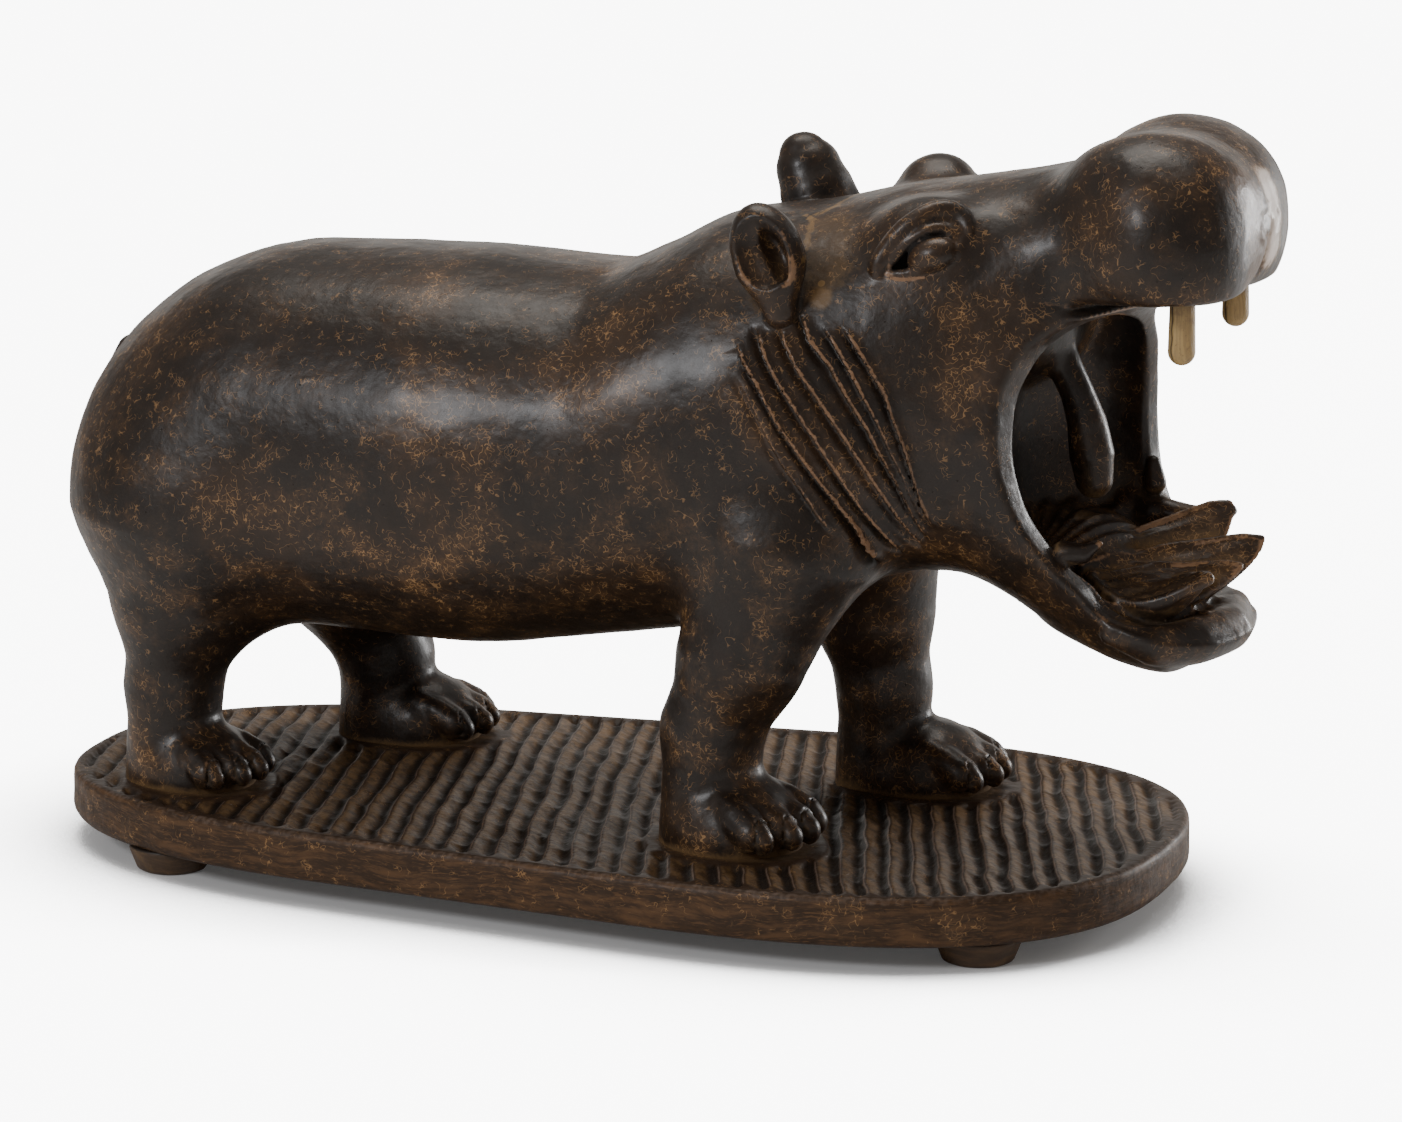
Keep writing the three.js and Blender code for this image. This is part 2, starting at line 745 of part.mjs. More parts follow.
// Folds of the neck: ridges fanned between two boundary lines on each flank
function folds(side) {
  const steps = 7;
  return Array.from({ length: FOLDS }, (_, i) => {
    const share = i / (FOLDS - 1);
    const line = FOLD_REAR.map((p, k) => {
      const x = p[0] + share * (FOLD_FRONT[k][0] - p[0]);
      const z = p[1] + share * (FOLD_FRONT[k][1] - p[1]);
      return new THREE.Vector3(x, flank(x, z, side) - side * FOLD.sunk, z);
    });
    const path = new THREE.CatmullRomCurve3(line).getPoints(steps);
    const radii = path.map((_, k) => {
      const t = k / steps;
      return FOLD.radius * (1 - 0.35 * t) * (k === 0 || k === steps ? 0.5 : 1);
    });
    return sweep(path, radii, 6);
  });
}

// Eyes: a ball in a hollow, under two ridges and over a lower lid
function lidPath(brow, from, to, long, high, low, sunk) {
  const steps = 8;
  const tilt = THREE.MathUtils.degToRad(EYE.tilt);
  return Array.from({ length: steps + 1 }, (_, i) => {
    const t = THREE.MathUtils.degToRad(from + ((to - from) * i) / steps);
    const u = long * Math.cos(t);
    const v = (Math.sin(t) > 0 ? high : low) * Math.sin(t) * (1 + EYE.taper * (Math.cos(t) - 1));
    const x = brow.at[0] + brow.eye[0] - 1.5 + u * Math.cos(tilt) - v * Math.sin(tilt);
    const z = brow.at[2] + brow.eye[1] + 0.5 + u * Math.sin(tilt) + v * Math.cos(tilt);
    return new THREE.Vector3(x, flank(x, z, brow.side) - brow.side * sunk, z);
  });
}

function lid(path, radius) {
  return sweep(path, path.map((_, i) => radius * (i === 0 || i === path.length - 1 ? 0.4 : 1)), 6);
}

function carveEye(body, brow) {
  const x = brow.at[0] + brow.eye[0];
  const z = brow.at[2] + brow.eye[1];
  const y = flank(x, z, brow.side);
  return body
    .subtract(egg([x - 2, y, z], [15, 5, 8.5], -EYE.tilt))
    .add(egg([x + 3.5, y - brow.side * 3.5, z - 0.5], EYE.ball, -20))
    .add(lid(lidPath(brow, -8, 192, ...EYE.brow, 0.8), 3))
    .add(lid(lidPath(brow, 15, 175, ...EYE.fold, 1.2), 2))
    .add(lid(lidPath(brow, 182, 358, ...EYE.lower, 1), 2));
}

// Ears: an open cup on the right, an upright folded ear on the left
function carveEars(body) {
  const { at, cup, hollow, tilt } = EAR;
  const right = egg([at[0], at[1] + 2, at[2]], cup, -tilt).add(sweep(vectors(EAR.root), [6.5, 5], 6));
  const left = sweep(vectors(EAR.left), EAR.leftRadii, 9);
  return body.add(right).subtract(egg([at[0] + 2, at[1] - 9, at[2]], hollow, -tilt)).add(left);
}

// Toes: four rounded rods on each foot
function toes(l) {
  const angle = THREE.MathUtils.degToRad(l.turn);
  return Array.from({ length: TOE.count }, (_, i) => {
    const q = i - (TOE.count - 1) / 2;
    const tip = l.ahead + TOE.reach * l.size - q * q * TOE.drop;
    const path = [[0.1, 0.8, 19], [0.45, 0.9, 15], [0.8, 1, 10.5], [1, 1.02, 8]].map(([t, spread, z]) => {
      const u = l.ahead + t * (tip - l.ahead);
      const v = q * TOE.pitch * spread * l.size;
      const x = l.ankle[0] + u * Math.cos(angle) - v * Math.sin(angle);
      const y = l.ankle[1] + u * Math.sin(angle) + v * Math.cos(angle);
      return [x, y, z * l.size];
    });
    const radii = [0.8, 1, 1, 0.55].map((share) => share * TOE.radius * l.size);
    return sweep(vectors(path), radii, 8);
  });
}

// Petals fanned on the floor of the mouth, pointed and turned up at the tips
function petal({ tip, half, bank, sag, thick }) {
  const steps = 6;
  const root = new THREE.Vector3(...ROOT);
  const along = new THREE.Vector3(...tip).sub(root);
  const side = new THREE.Vector3(0, 0, 1).cross(along).normalize();
  const rings = Array.from({ length: steps + 1 }, (_, i) => {
    const t = i / steps;
    const blunt = Math.sqrt(Math.max(1 - Math.max(0, (t - 0.6) / 0.4) ** 2, 0.03));
    const width = half * (0.25 + 0.75 * Math.sin((Math.min(1, t / 0.7) * Math.PI) / 2)) * blunt;
    const centre = root.clone().addScaledVector(along, t);
    centre.z -= sag * Math.sin(Math.PI * t);
    const lean = bank * Math.sin(Math.PI * Math.min(t, 0.62));
    return Array.from({ length: 8 }, (_, k) => {
      const a = (2 * Math.PI * k) / 8;
      const p = centre.clone().addScaledVector(side, width * Math.cos(a));
      p.z += thick * blunt * Math.sin(a) + lean * width * Math.cos(a);
      return p.toArray();
    });
  });
  return solidOf(stack(rings));
}

function carve(body) {
  const features = [-1, 1].flatMap(folds);
  features.push(...LEGS.flatMap(toes), ...PETALS.map(petal));
  features.push(sweep(vectors(PENDANT.path), PENDANT.radii, 8), sweep(vectors(TAIL.path), TAIL.radii, 6));
  let carved = BROWS.reduce(carveEye, body);
  carved = carveEars(carved);
  return features.reduce((joined, feature) => joined.add(feature), carved);
}

// Rows of gouge cuts across the board's top, slanting more towards the front
function gougeRows() {
  const side = PLINTH.halfWidth * 1.4;
  const rows = Math.ceil((2 * PLINTH.halfLength) / GOUGE.pitch) + 8;
  const rings = [-side, side].map((y) => {
    const lower = [];
    for (let i = 0; i <= rows; i += 1) {
      const middle = (i - rows / 2) * GOUGE.pitch;
      const share = clamp((middle + PLINTH.halfLength) / (2 * PLINTH.halfLength), 0, 1);
      const slant = GOUGE.slantRear + (GOUGE.slantFront - GOUGE.slantRear) * share;
      for (const [part, deep] of [[0, 0], [0.4, 1]]) {
        lower.push([middle + part * GOUGE.pitch - slant * y, y, -deep * GOUGE.depth]);
      }
    }
    return lower;
  });
  const n = rings[0].length;
  const points = [...rings[0], ...rings[1]];
  const lid = points.map(([x, y]) => [x, y, GOUGE.pitch]);
  const faces = [];
  for (let i = 0; i < n - 1; i += 1) {
    faces.push([i, i + n + 1, i + 1], [i, i + n, i + n + 1]);
    faces.push([2 * n + i, 2 * n + i + 1, 3 * n + i + 1], [2 * n + i, 3 * n + i + 1, 3 * n + i]);
    faces.push([i, i + 1, 2 * n + i + 1], [i, 2 * n + i + 1, 2 * n + i]);
    faces.push([n + i, 3 * n + i + 1, n + i + 1], [n + i, 3 * n + i, 3 * n + i + 1]);
  }
  for (const i of [0, n - 1]) {
    const end = [[i, 2 * n + i, 3 * n + i], [i, 3 * n + i, n + i]];
    faces.push(...(i === 0 ? end : end.map(([a, b, c]) => [a, c, b])));
  }
  return geometryOf({ points: [...points, ...lid], faces });
}

function upright(outline, bottom, top) {
  return stack([outline.map(([x, y]) => [x, y, bottom]), outline.map(([x, y]) => [x, y, top])]);
}

function footMargin(l) {
  const count = 20;
  const angle = THREE.MathUtils.degToRad(l.turn);
  const long = 33 * l.size + GOUGE.footMargin;
  const wide = 27 * l.size + GOUGE.footMargin;
  const x = l.ankle[0] + 0.9 * l.ahead * Math.cos(angle);
  const y = l.ankle[1] + 0.9 * l.ahead * Math.sin(angle);
  return Array.from({ length: count }, (_, i) => {
    const t = (2 * Math.PI * i) / count;
    const u = long * Math.cos(t);
    const v = wide * Math.sin(t);
    return [x + u * Math.cos(angle) - v * Math.sin(angle), y + u * Math.sin(angle) + v * Math.cos(angle)];
  });
}

function plinth() {
  let rows = solidOf(gougeRows());
  rows = rows.intersect(solidOf(upright(plinthOutline(PLINTH.margin, OUTLINE_POINTS), -20, 20)));
  for (const l of LEGS) rows = rows.subtract(solidOf(upright(footMargin(l), -25, 25)));
  return solidOf(board()).subtract(rows);
}

// Peg teeth and the sockets they stand in
function peg([x, y, low, high], grow) {
  const radius = TOOTH.radius + grow;
  const profile = [];
  const steps = 4;
  for (let i = 0; i <= steps; i += 1) {
    const t = (i / steps) * (Math.PI / 2);
    profile.push(new THREE.Vector2(radius * Math.sin(t), low - grow + radius * (1 - Math.cos(t))));
  }
  profile[0].x = 0;
  profile.push(new THREE.Vector2(radius * 0.92, high + grow), new THREE.Vector2(0, high + grow));
  const geometry = new THREE.LatheGeometry(profile, 10);
  geometry.rotateX(Math.PI / 2);
  geometry.translate(x, y, 0);
  return solidOf(geometry);
}

function pad(x, y) {
  const top = -PLINTH.thickness - GAP;
  const bottom = top - PAD.height;
  const round = 2;
  const profile = [
    [0, bottom],
    [PAD.foot - round, bottom],
    [PAD.foot, bottom + 0.6 * round],
    [PAD.radius - 0.5, top - 3],
    [PAD.radius, top],
    [0, top],
  ].map(([r, z]) => new THREE.Vector2(r, z));
  const geometry = new THREE.LatheGeometry(profile, 20);
  geometry.rotateX(Math.PI / 2);
  geometry.translate(x, y, 0);
  return solidOf(geometry);
}

// Finishes
const darkWood = new THREE.MeshStandardMaterial({ color: 0x2f2622, roughness: 0.42, metalness: 0 });
const padWood = new THREE.MeshStandardMaterial({ color: 0x382a20, roughness: 0.5, metalness: 0 });
const bone = new THREE.MeshStandardMaterial({ color: 0xb79b6a, roughness: 0.45, metalness: 0 });

// Assembly
const rough = solidOf(geometryOf(thin(skin(animal, BOX, GRID), ROUGH_TRIANGLES)));
const figure = solidOf(geometryOf(thin(listsOf(carve(rough)), CARVED_TRIANGLES)));
let carving = figure.add(plinth());
const carved = new THREE.Group();
for (const [name, place] of [['tooth_near', TOOTH.near], ['tooth_far', TOOTH.far]]) {
  carving = carving.subtract(peg(place, GAP));
  carved.add(meshOf(name, peg(place, 0), bone));
}
carved.add(meshOf('hippo_and_plinth', carving, darkWood));
for (const [name, x, y] of PAD_PLACES) carved.add(meshOf(name, pad(x, y), padWood));

// Floor level and middle of the outer box become the origin
const size = new THREE.Box3().setFromObject(carved);
const middle = size.getCenter(new THREE.Vector3());
carved.position.set(-middle.x, -middle.y, -size.min.z);

const model = new THREE.Group();
model.add(carved);
export default model;
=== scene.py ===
"""A hippopotamus carved from dark wood, open-mouthed on its plinth: surfaces, finishes, stage and camera."""
import math

import bpy
import numpy as np
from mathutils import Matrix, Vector


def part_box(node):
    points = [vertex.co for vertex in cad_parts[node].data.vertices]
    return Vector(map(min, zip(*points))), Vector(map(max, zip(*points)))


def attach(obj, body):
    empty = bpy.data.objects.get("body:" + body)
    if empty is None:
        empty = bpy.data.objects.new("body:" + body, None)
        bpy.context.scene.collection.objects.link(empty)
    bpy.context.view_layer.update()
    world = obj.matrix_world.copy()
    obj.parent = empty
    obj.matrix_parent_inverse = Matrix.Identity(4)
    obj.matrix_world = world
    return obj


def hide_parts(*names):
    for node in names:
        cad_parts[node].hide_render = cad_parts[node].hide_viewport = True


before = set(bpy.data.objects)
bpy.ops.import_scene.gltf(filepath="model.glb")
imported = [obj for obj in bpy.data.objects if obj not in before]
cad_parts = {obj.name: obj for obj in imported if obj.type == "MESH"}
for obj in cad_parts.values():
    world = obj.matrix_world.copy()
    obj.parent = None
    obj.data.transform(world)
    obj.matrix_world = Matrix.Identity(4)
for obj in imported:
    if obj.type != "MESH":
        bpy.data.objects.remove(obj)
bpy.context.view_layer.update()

bl_info = {
    "name": "Carved hippopotamus",
    "version": (1, 0, 0),
    "blender": (4, 5, 0),
    "location": "View3D > Sidebar > Carving",
    "description": "Builds the wooden hippopotamus, its plinth, teeth and pads with their worn finishes",
    "category": "Object",
}


class Form:
    """The named sizes of one form."""

    def __init__(self, **sizes):
        vars(self).update(sizes)


# Sizes of the carving, in millimetres where they aren't shares or angles: z = 0 is the plinth's top and
# x = y = 0 its middle
PLINTH = Form(
    half_length=240, half_width=120, thickness=20.5, front_round=207, rear_round=151, fullness=2.5, taper=0.2,
    edge_round=3,
)
PAD_NAMES = ("pad_front_right", "pad_front_left", "pad_rear_right", "pad_rear_left")
FRONT_PAD_AT = (185, -82)
GAP = 0.3
BLEND = Form(
    lobe=20, brow=9, jaws=14, neck=20, hip=14, thigh=32, knee=10, ankle=6, foot=5, rim=3.4, wall=8, hollow=3,
    tongue=4,
)
TRUNK = Form(
    x=(-130, -60, 0, 25, 50, 100, 150, 190), top=(224.5, 226.5, 224.5, 234.5, 247, 254, 262, 268),
    bottom=(64, 62, 70, 74, 78, 94, 114, 120), half=(85, 89, 86, 85, 83, 78, 66, 50), fullness=2.15,
    front=188, front_round=12,
)
RUMP = Form(end=-238, length=110, level=122, tall_power=1.9, low_power=2.6, wide_power=2.2, flat=1.8, round=9)
UPPER = Form(
    x=(60, 100, 130, 160, 190, 212, 235, 255), top=(232, 249, 260, 265, 273, 284, 292, 292),
    bottom=(150, 150, 160, 175, 196, 208, 218, 222), half=(56, 58, 57, 53, 48, 50, 57, 58), fullness=2.3,
    rear=75, rear_round=30,
)
NOSE = Form(end=277, length=40, level=256, droop=0.6)
LOBE = Form(x=246, y=29, z=250, r=(28, 29, 33))
NOSTRIL = Form(x=226, y=27, z=272, r=(21, 17, 16))
NOTCH = Form(at=(279, 0, 232), r=(7, 3, 26), soft=4)
JAW = Form(
    x=(140, 160, 180, 200, 220, 240, 258), bottom=(116, 109, 98, 86, 76.5, 74, 80),
    middle=(160, 165, 166, 164, 148, 112, 99), half=(58, 60, 61, 60, 57, 52, 45), fullness=2.2, rear=132,
    rear_round=20,
)
CHIN = Form(end=274, length=31)
RIM = Form(
    z=(84, 92, 97, 115, 138, 158, 178, 196, 212, 221, 229, 231, 236),
    x=(300, 258, 236, 211, 193, 186, 184, 186, 194, 206, 226, 262, 300), twist=0.3, twist_rise=0.0014,
    twist_level=186, near=58,
)
MOUTH = Form(wall=12, at=(240, 0, 166), r=(74, 66, 74))
TONGUE = Form(at=(218, 2, 99), r=(36, 34, 17))
LIP = Form(
    path=((226, -44, 95), (243, -38, 92), (255, -23, 91), (262, 0, 92), (257, 21, 94), (243, 36, 98)),
    radii=(3.5, 7.5, 9, 9, 8.5, 5), soft=5,
)
PETAL_ROOT = (202, -14, 118)
PETALS = (
    Form(tip=(253, 37, 133), half=12.5, bank=0.8, sag=10, thick=6, dish=3.2, rim=1, rib=1.7),
    Form(tip=(272, 17, 124), half=12.5, bank=0.75, sag=10, thick=6, dish=3.2, rim=1, rib=1.8),
    Form(tip=(268, -3, 117), half=10, bank=0.65, sag=9, thick=6, dish=2.6, rim=1, rib=1.7),
    Form(tip=(262, -24, 118), half=13.5, bank=0.3, sag=11, thick=8, dish=5, rim=-1, rib=2.8),
)
PETAL_EDGE = 1.8
FAR_CREST = Form(
    path=((252, 37.5, 130.5), (244, 40, 128), (233, 42, 126), (222, 44, 126), (208, 45, 127)),
    radii=(2, 3.6, 5.5, 6.5, 7), soft=4,
)
FAN = Form(at=(186, -38), low=(172, -44, 100), high=(258, 44, 137), first=-6, last=118, count=15, height=1.5)
SPIKE = Form(path=((205, -40, 126), (213, -39, 126.5), (220, -38, 131)), radii=(5, 4, 1.2), soft=1.5)
LOBE_OF_THROAT = Form(
    path=((180, 5, 206), (190, 6, 194), (196, 6, 182), (200, 7, 170), (202, 8, 157), (203, 8, 146)),
    radii=(8, 7, 7, 8.2, 9.2, 7.4), soft=5,
)
THROAT_WALL = Form(at=(174, 12, 212), r=(22, 36, 26), soft=8)
THROAT_PIT = Form(at=(170, -24, 168), r=(22, 19, 34), soft=5)
MOUND = Form(at=(191, 12, 117.5), r=(31, 34, 14), soft=7)
KNOB = Form(path=((217, 44, 147), (218, 44, 139)), radii=(3, 4.5), soft=1.5)
TAIL = Form(path=((-220, 0, 172), (-231, 0, 155), (-235.5, 0, 138), (-236, 0, 120)), radii=(7, 5.5, 4.5, 3.6))
BROWS = (
    Form(side=-1, at=(149, -37, 246), r=(25, 19, 19), eye=(2.5, 0)),
    Form(side=1, at=(126, 39, 252), r=(18, 17, 18), eye=(1.5, -11)),
)
LEGS = (
    Form(hip=(-174, -42, 110), knee=(-178, -45, 76), ankle=(-183, -44, 40), r=(47, 26, 19.5),
         ahead=14, turn=-14, size=0.88),
    Form(hip=(88, -48, 120), knee=(76, -56, 78), ankle=(63, -57, 46), r=(38, 24.5, 20),
         ahead=13, turn=-14, size=1),
    Form(hip=(-162, 44, 110), knee=(-143, 50, 68), ankle=(-129, 56, 34), r=(44, 25, 19.5),
         ahead=17, turn=8, size=0.92),
    Form(hip=(92, 46, 118), knee=(94, 52, 76), ankle=(99, 53, 42), r=(38, 24, 19),
         ahead=21, turn=2, size=0.96),
)
FOOT = Form(r=(29, 26.5, 25), sole=5, back=2, flare=1.5)
TOE = Form(count=4, pitch=12.6, reach=30, drop=2.6, radius=7.6)
# Along each toe: share of its reach, spread and height; and how thick it is there
TOE_LINE = ((0.1, 0.8, 19), (0.45, 0.9, 15), (0.8, 1, 10.5), (1, 1.02, 8))
TOE_SWELL = (0.8, 1, 1.03, 0.68)
NAIL = Form(back=0.4, z=8.6, r=(4.3, 4.7, 5.4), groove=(5.6, 4.4, 8), soft=1.4)
SOLE = 7
ABOVE_LEGS = 190
FOLDS = Form(
    crests=(
        ((120, 132), (114, 140), (108, 150), (100, 162), (90, 182), (80, 197)),
        ((132, 117), (126, 136), (120, 146), (112, 158), (104, 170), (97, 180), (90, 192), (83, 201), (78, 211)),
        ((143, 120), (137, 130), (130, 142), (121, 159), (113, 173), (104, 186), (96, 197), (90, 207), (87, 216)),
        ((152, 123), (144, 138), (138, 150), (131, 163), (123, 176), (114, 189), (106, 199), (99, 210), (96, 217)),
        ((154, 127), (149, 140), (144, 155), (138, 167), (133, 178), (126, 189), (119, 201), (109, 211), (104, 222)),
        ((155, 133), (150, 146), (146, 159), (142, 168), (137, 180), (131, 191), (126, 200), (120, 209), (113, 218)),
        ((157, 134), (153, 146), (150, 160), (147, 171), (143, 182), (140, 191), (134, 201), (129, 208), (121, 218)),
    ),
    strength=(0.4, 1, 1, 1, 1, 0.85, 0.9), height=2.7, full_gap=9, fade=7,
)
# Height between one crest, at 0, and the next, at 1, as shares of the full height
FOLD_SHAPE = ((0, 0.1, 0.28, 0.52, 0.7, 0.84, 0.93, 1), (1, 0.7, 0.2, 0, -0.75, -1.05, -0.35, 1))
EYE = Form(
    tilt=28, taper=0.26, ball=(10.6, 8.2, 7.2), hollow=(14.8, 8, 7.6), brow=(19.5, 16, 9.5, 0.2, 4.2),
    fold=(14, 8.8, 6, 0.2, 2.3), lower=(17, 8, 9.5, 0.8, 2),
)
EAR = Form(
    at=(91, -70, 243), tilt=24, cup=(14.5, 12, 19.5), taper=((92, -69, 238), (96, -69, 222)),
    taper_radii=(12.5, 6.5), dish=(12.6, 11, 16.5), slot=(5, 13, 11.5),
    left=((80, 44, 220), (77, 44, 236), (71, 45, 250), (67, 46, 259), (65, 46, 264)),
    left_radii=(19.5, 17.5, 15.6, 13.6, 10.6),
    left_scoops=(((84, 26, 252), (8, 8, 17)), ((57, 27, 256), (7, 7, 18))),
)
TOOTH = Form(radius=5.6, near=(249, -28, 203, 229), far=(255, 28, 209, 229))
BOARD = Form(around=860, inward=84, spine=0.52, underside=0.55, weld=0.00008)
GOUGES = {"Slant Rear": 0.2, "Slant Front": 0.37, "Waviness": 0.07, "Margin": 5.0, "Foot Margin": 5.0, "Seed": 3.0}
FIGURE_BOX = ((-246, -104, -12), (288, 104, 306))
ALMOST_ONE = 0.9999

# Where the carving's frame lies in the row's frame, worked out from the front right pad
PAD_LOW, PAD_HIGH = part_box("pad_front_right")
OFFSET = np.array((
    (PAD_LOW.x + PAD_HIGH.x) * 500 - FRONT_PAD_AT[0],
    (PAD_LOW.y + PAD_HIGH.y) * 500 - FRONT_PAD_AT[1],
    PAD_HIGH.z * 1000 + GAP + PLINTH.thickness,
))


def to_row(points):
    """Millimetres in the carving's frame to metres in the row's frame."""
    return (np.asarray(points, float) + OFFSET) / 1000


# Joins of distance fields, which are negative inside the wood
def join(a, b, k):
    h = np.clip(0.5 + 0.5 * (b - a) / k, 0, 1)
    return b * (1 - h) + a * h - k * h * (1 - h)


def cut(a, b, k):
    return -join(-a, b, k)


def both(a, b, k):
    return -join(-a, -b, k)


def smooth_step(low, high, value):
    t = np.clip((value - low) / (high - low), 0, 1)
    return t * t * (3 - 2 * t)


def smooth_curve(xs, ys):
    xs = np.asarray(xs, float)
    ys = np.asarray(ys, float)
    rise = np.diff(ys) / np.diff(xs)
    slope = np.gradient(ys, xs)
    slope[1:-1][rise[:-1] * rise[1:] <= 0] = 0
    slope[0] = rise[0]
    slope[-1] = rise[-1]

    def at(value):
        x = np.clip(value, xs[0], xs[-1])
        i = np.clip(np.searchsorted(xs, x, side="right") - 1, 0, len(xs) - 2)
        h = xs[i + 1] - xs[i]
        t = (x - xs[i]) / h
        t2 = t * t
        t3 = t2 * t
        start = (2 * t3 - 3 * t2 + 1) * ys[i] + (t3 - 2 * t2 + t) * h * slope[i]
        return start + (3 * t2 - 2 * t3) * ys[i + 1] + (t3 - t2) * h * slope[i + 1]

    return at


# Distance fields of plain bodies
def oval(x, y, z, centre, radii):
    px, py, pz = x - centre[0], y - centre[1], z - centre[2]
    a, b, c = radii
    near = np.sqrt((px / a) ** 2 + (py / b) ** 2 + (pz / c) ** 2)
    slope = np.sqrt((px / a**2) ** 2 + (py / b**2) ** 2 + (pz / c**2) ** 2) + 1e-9
    return near * (near - 1) / slope


def turned_oval(x, y, z, centre, radii, degrees):
    """An oval whose length, along x, is tipped up by that many degrees."""
    c, s = math.cos(math.radians(degrees)), math.sin(math.radians(degrees))
    px, pz = x - centre[0], z - centre[2]
    return oval(px * c + pz * s, y - centre[1], pz * c - px * s, (0, 0, 0), radii)


def rod(x, y, z, a, b, ra, rb):
    bx, by, bz = b[0] - a[0], b[1] - a[1], b[2] - a[2]
    along = ((x - a[0]) * bx + (y - a[1]) * by + (z - a[2]) * bz) / (bx * bx + by * by + bz * bz)
    t = np.clip(along, 0, 1)
    away = np.sqrt((x - a[0] - bx * t) ** 2 + (y - a[1] - by * t) ** 2 + (z - a[2] - bz * t) ** 2)
    return away - (ra + (rb - ra) * t)


def chain(x, y, z, path, radii):
    found = None
    for a, b, ra, rb in zip(path, path[1:], radii, radii[1:]):
        part = rod(x, y, z, a, b, ra, rb)
        found = part if found is None else np.minimum(found, part)
    return found


def ball(x, y, z, form):
    return oval(x, y, z, form.at, form.r)


def rope(x, y, z, form):
    return chain(x, y, z, form.path, form.radii)


def section(y, z, middle, half, height, fullness):
    a = np.abs(y)
    b = np.abs(z - middle)
    k = ((a / half) ** fullness + (b / height) ** fullness) ** (1 / fullness)
    slope = np.hypot(a ** (fullness - 1) / half**fullness, b ** (fullness - 1) / height**fullness)
    return (k - 1) / (slope * np.maximum(k, 1e-6) ** (1 - fullness) + 1e-6)


def within(x, y, z, low, high):
    inside = (x > low[0]) & (x < high[0]) & (y > low[1]) & (y < high[1])
    return inside & (z > low[2]) & (z < high[2])


def locally(f, x, y, z, low, high, change, *more):
    """The field f with a change that reaches only as far as a box."""
    m = within(x, y, z, low, high)
    if m.any():
        f = f.copy()
        f[m] = change(f[m], x[m], y[m], z[m], *more)
    return f


def box_round(path, margin):
    points = np.asarray(path, float)
    return points.min(0) - margin, points.max(0) + margin


# Trunk, head and jaw
def curves(form, *rows):
    return [smooth_curve(form.x, getattr(form, row)) for row in rows]


trunk_top, trunk_bottom, trunk_half = curves(TRUNK, "top", "bottom", "half")
upper_top, upper_bottom, upper_half = curves(UPPER, "top", "bottom", "half")
jaw_bottom, jaw_middle, jaw_half = curves(JAW, "bottom", "middle", "half")
rim_at = smooth_curve(RIM.z, RIM.x)


def trunk(x, y, z):
    u = np.clip((RUMP.end + RUMP.length - x) / RUMP.length, 0, ALMOST_ONE)
    tall, low, wide = ((1 - u ** power) ** (1 / power)
                       for power in (RUMP.tall_power, RUMP.low_power, RUMP.wide_power))
    top = RUMP.level + (trunk_top(x) - RUMP.level) * tall
    bottom = RUMP.level + (trunk_bottom(x) - RUMP.level) * low
    half = np.maximum(trunk_half(x) * wide, 4)
    f = section(y, z, (top + bottom) / 2, half, np.maximum((top - bottom) / 2, 4), TRUNK.fullness)
    f = both(np.maximum(f, RUMP.end - x), RUMP.end + RUMP.flat - x, RUMP.round)
    return both(f, x - TRUNK.front, TRUNK.front_round)


def upper_head(x, y, z):
    u = np.clip((x - NOSE.end + NOSE.length) / NOSE.length, 0, ALMOST_ONE)
    k = np.sqrt(1 - u**2.2)
    top, bottom = upper_top(x), upper_bottom(x)
    level = (top + bottom) / 2
    middle = level + (NOSE.level - level) * (1 - k) * NOSE.droop
    height = np.maximum((top - bottom) / 2 * k, 3)
    f = section(y, z, middle, np.maximum(upper_half(x) * k, 3), height, UPPER.fullness)
    f = both(np.maximum(f, x - NOSE.end), UPPER.rear - x, UPPER.rear_round)
    for side in (-1, 1):
        for bump in (LOBE, NOSTRIL):
            f = join(f, oval(x, y, z, (bump.x, side * bump.y, bump.z), bump.r), BLEND.lobe)
    return f


def lower_jaw(x, y, z):
    u = np.clip((x - CHIN.end + CHIN.length) / CHIN.length, 0, ALMOST_ONE)
    k = np.sqrt(1 - u**2.2)
    middle = jaw_middle(x)
    height = np.maximum((middle - jaw_bottom(x)) * np.maximum(k, 0.1), 3)
    f = section(y, z, middle, np.maximum(jaw_half(x) * k, 3), height, JAW.fullness)
    return both(np.maximum(f, x - CHIN.end), JAW.rear - x, JAW.rear_round)


def head_and_trunk(x, y, z):
    head = join(upper_head(x, y, z), lower_jaw(x, y, z), BLEND.jaws)
    return join(trunk(x, y, z), head, BLEND.neck)


def browed(x, y, z, f):
    for brow in BROWS:
        f = join(f, ball(x, y, z, brow), BLEND.brow)
    return f


def gape(x, y, z):
    low, high = RIM.z[0], RIM.z[-1]
    level = np.clip(z, low, high)
    slope = (rim_at(np.clip(z + 1, low, high)) - rim_at(np.clip(z - 1, low, high))) / 2
    twist = RIM.twist + RIM.twist_rise * (level - RIM.twist_level)
    behind = rim_at(level) - (x - twist * (y + RIM.near))
    return np.maximum(np.maximum(behind / np.sqrt(1 + slope**2), low - z), z - high - 4)


def mouth_hollow(x, y, z, outer):
    throat = oval(x - RIM.twist / 2 * y, y, z, MOUTH.at, MOUTH.r)
    return both(outer + MOUTH.wall, throat, BLEND.wall)


# Legs and feet
def leg(x, y, z, l):
    thigh, knee, ankle = l.r
    f = rod(x, y, z, l.hip, l.knee, thigh, knee)
    f = join(f, rod(x, y, z, l.knee, l.ankle, knee, ankle), BLEND.knee)
    return join(f, rod(x, y, z, l.ankle, (*l.ankle[:2], 0), ankle, ankle + FOOT.flare), BLEND.ankle)


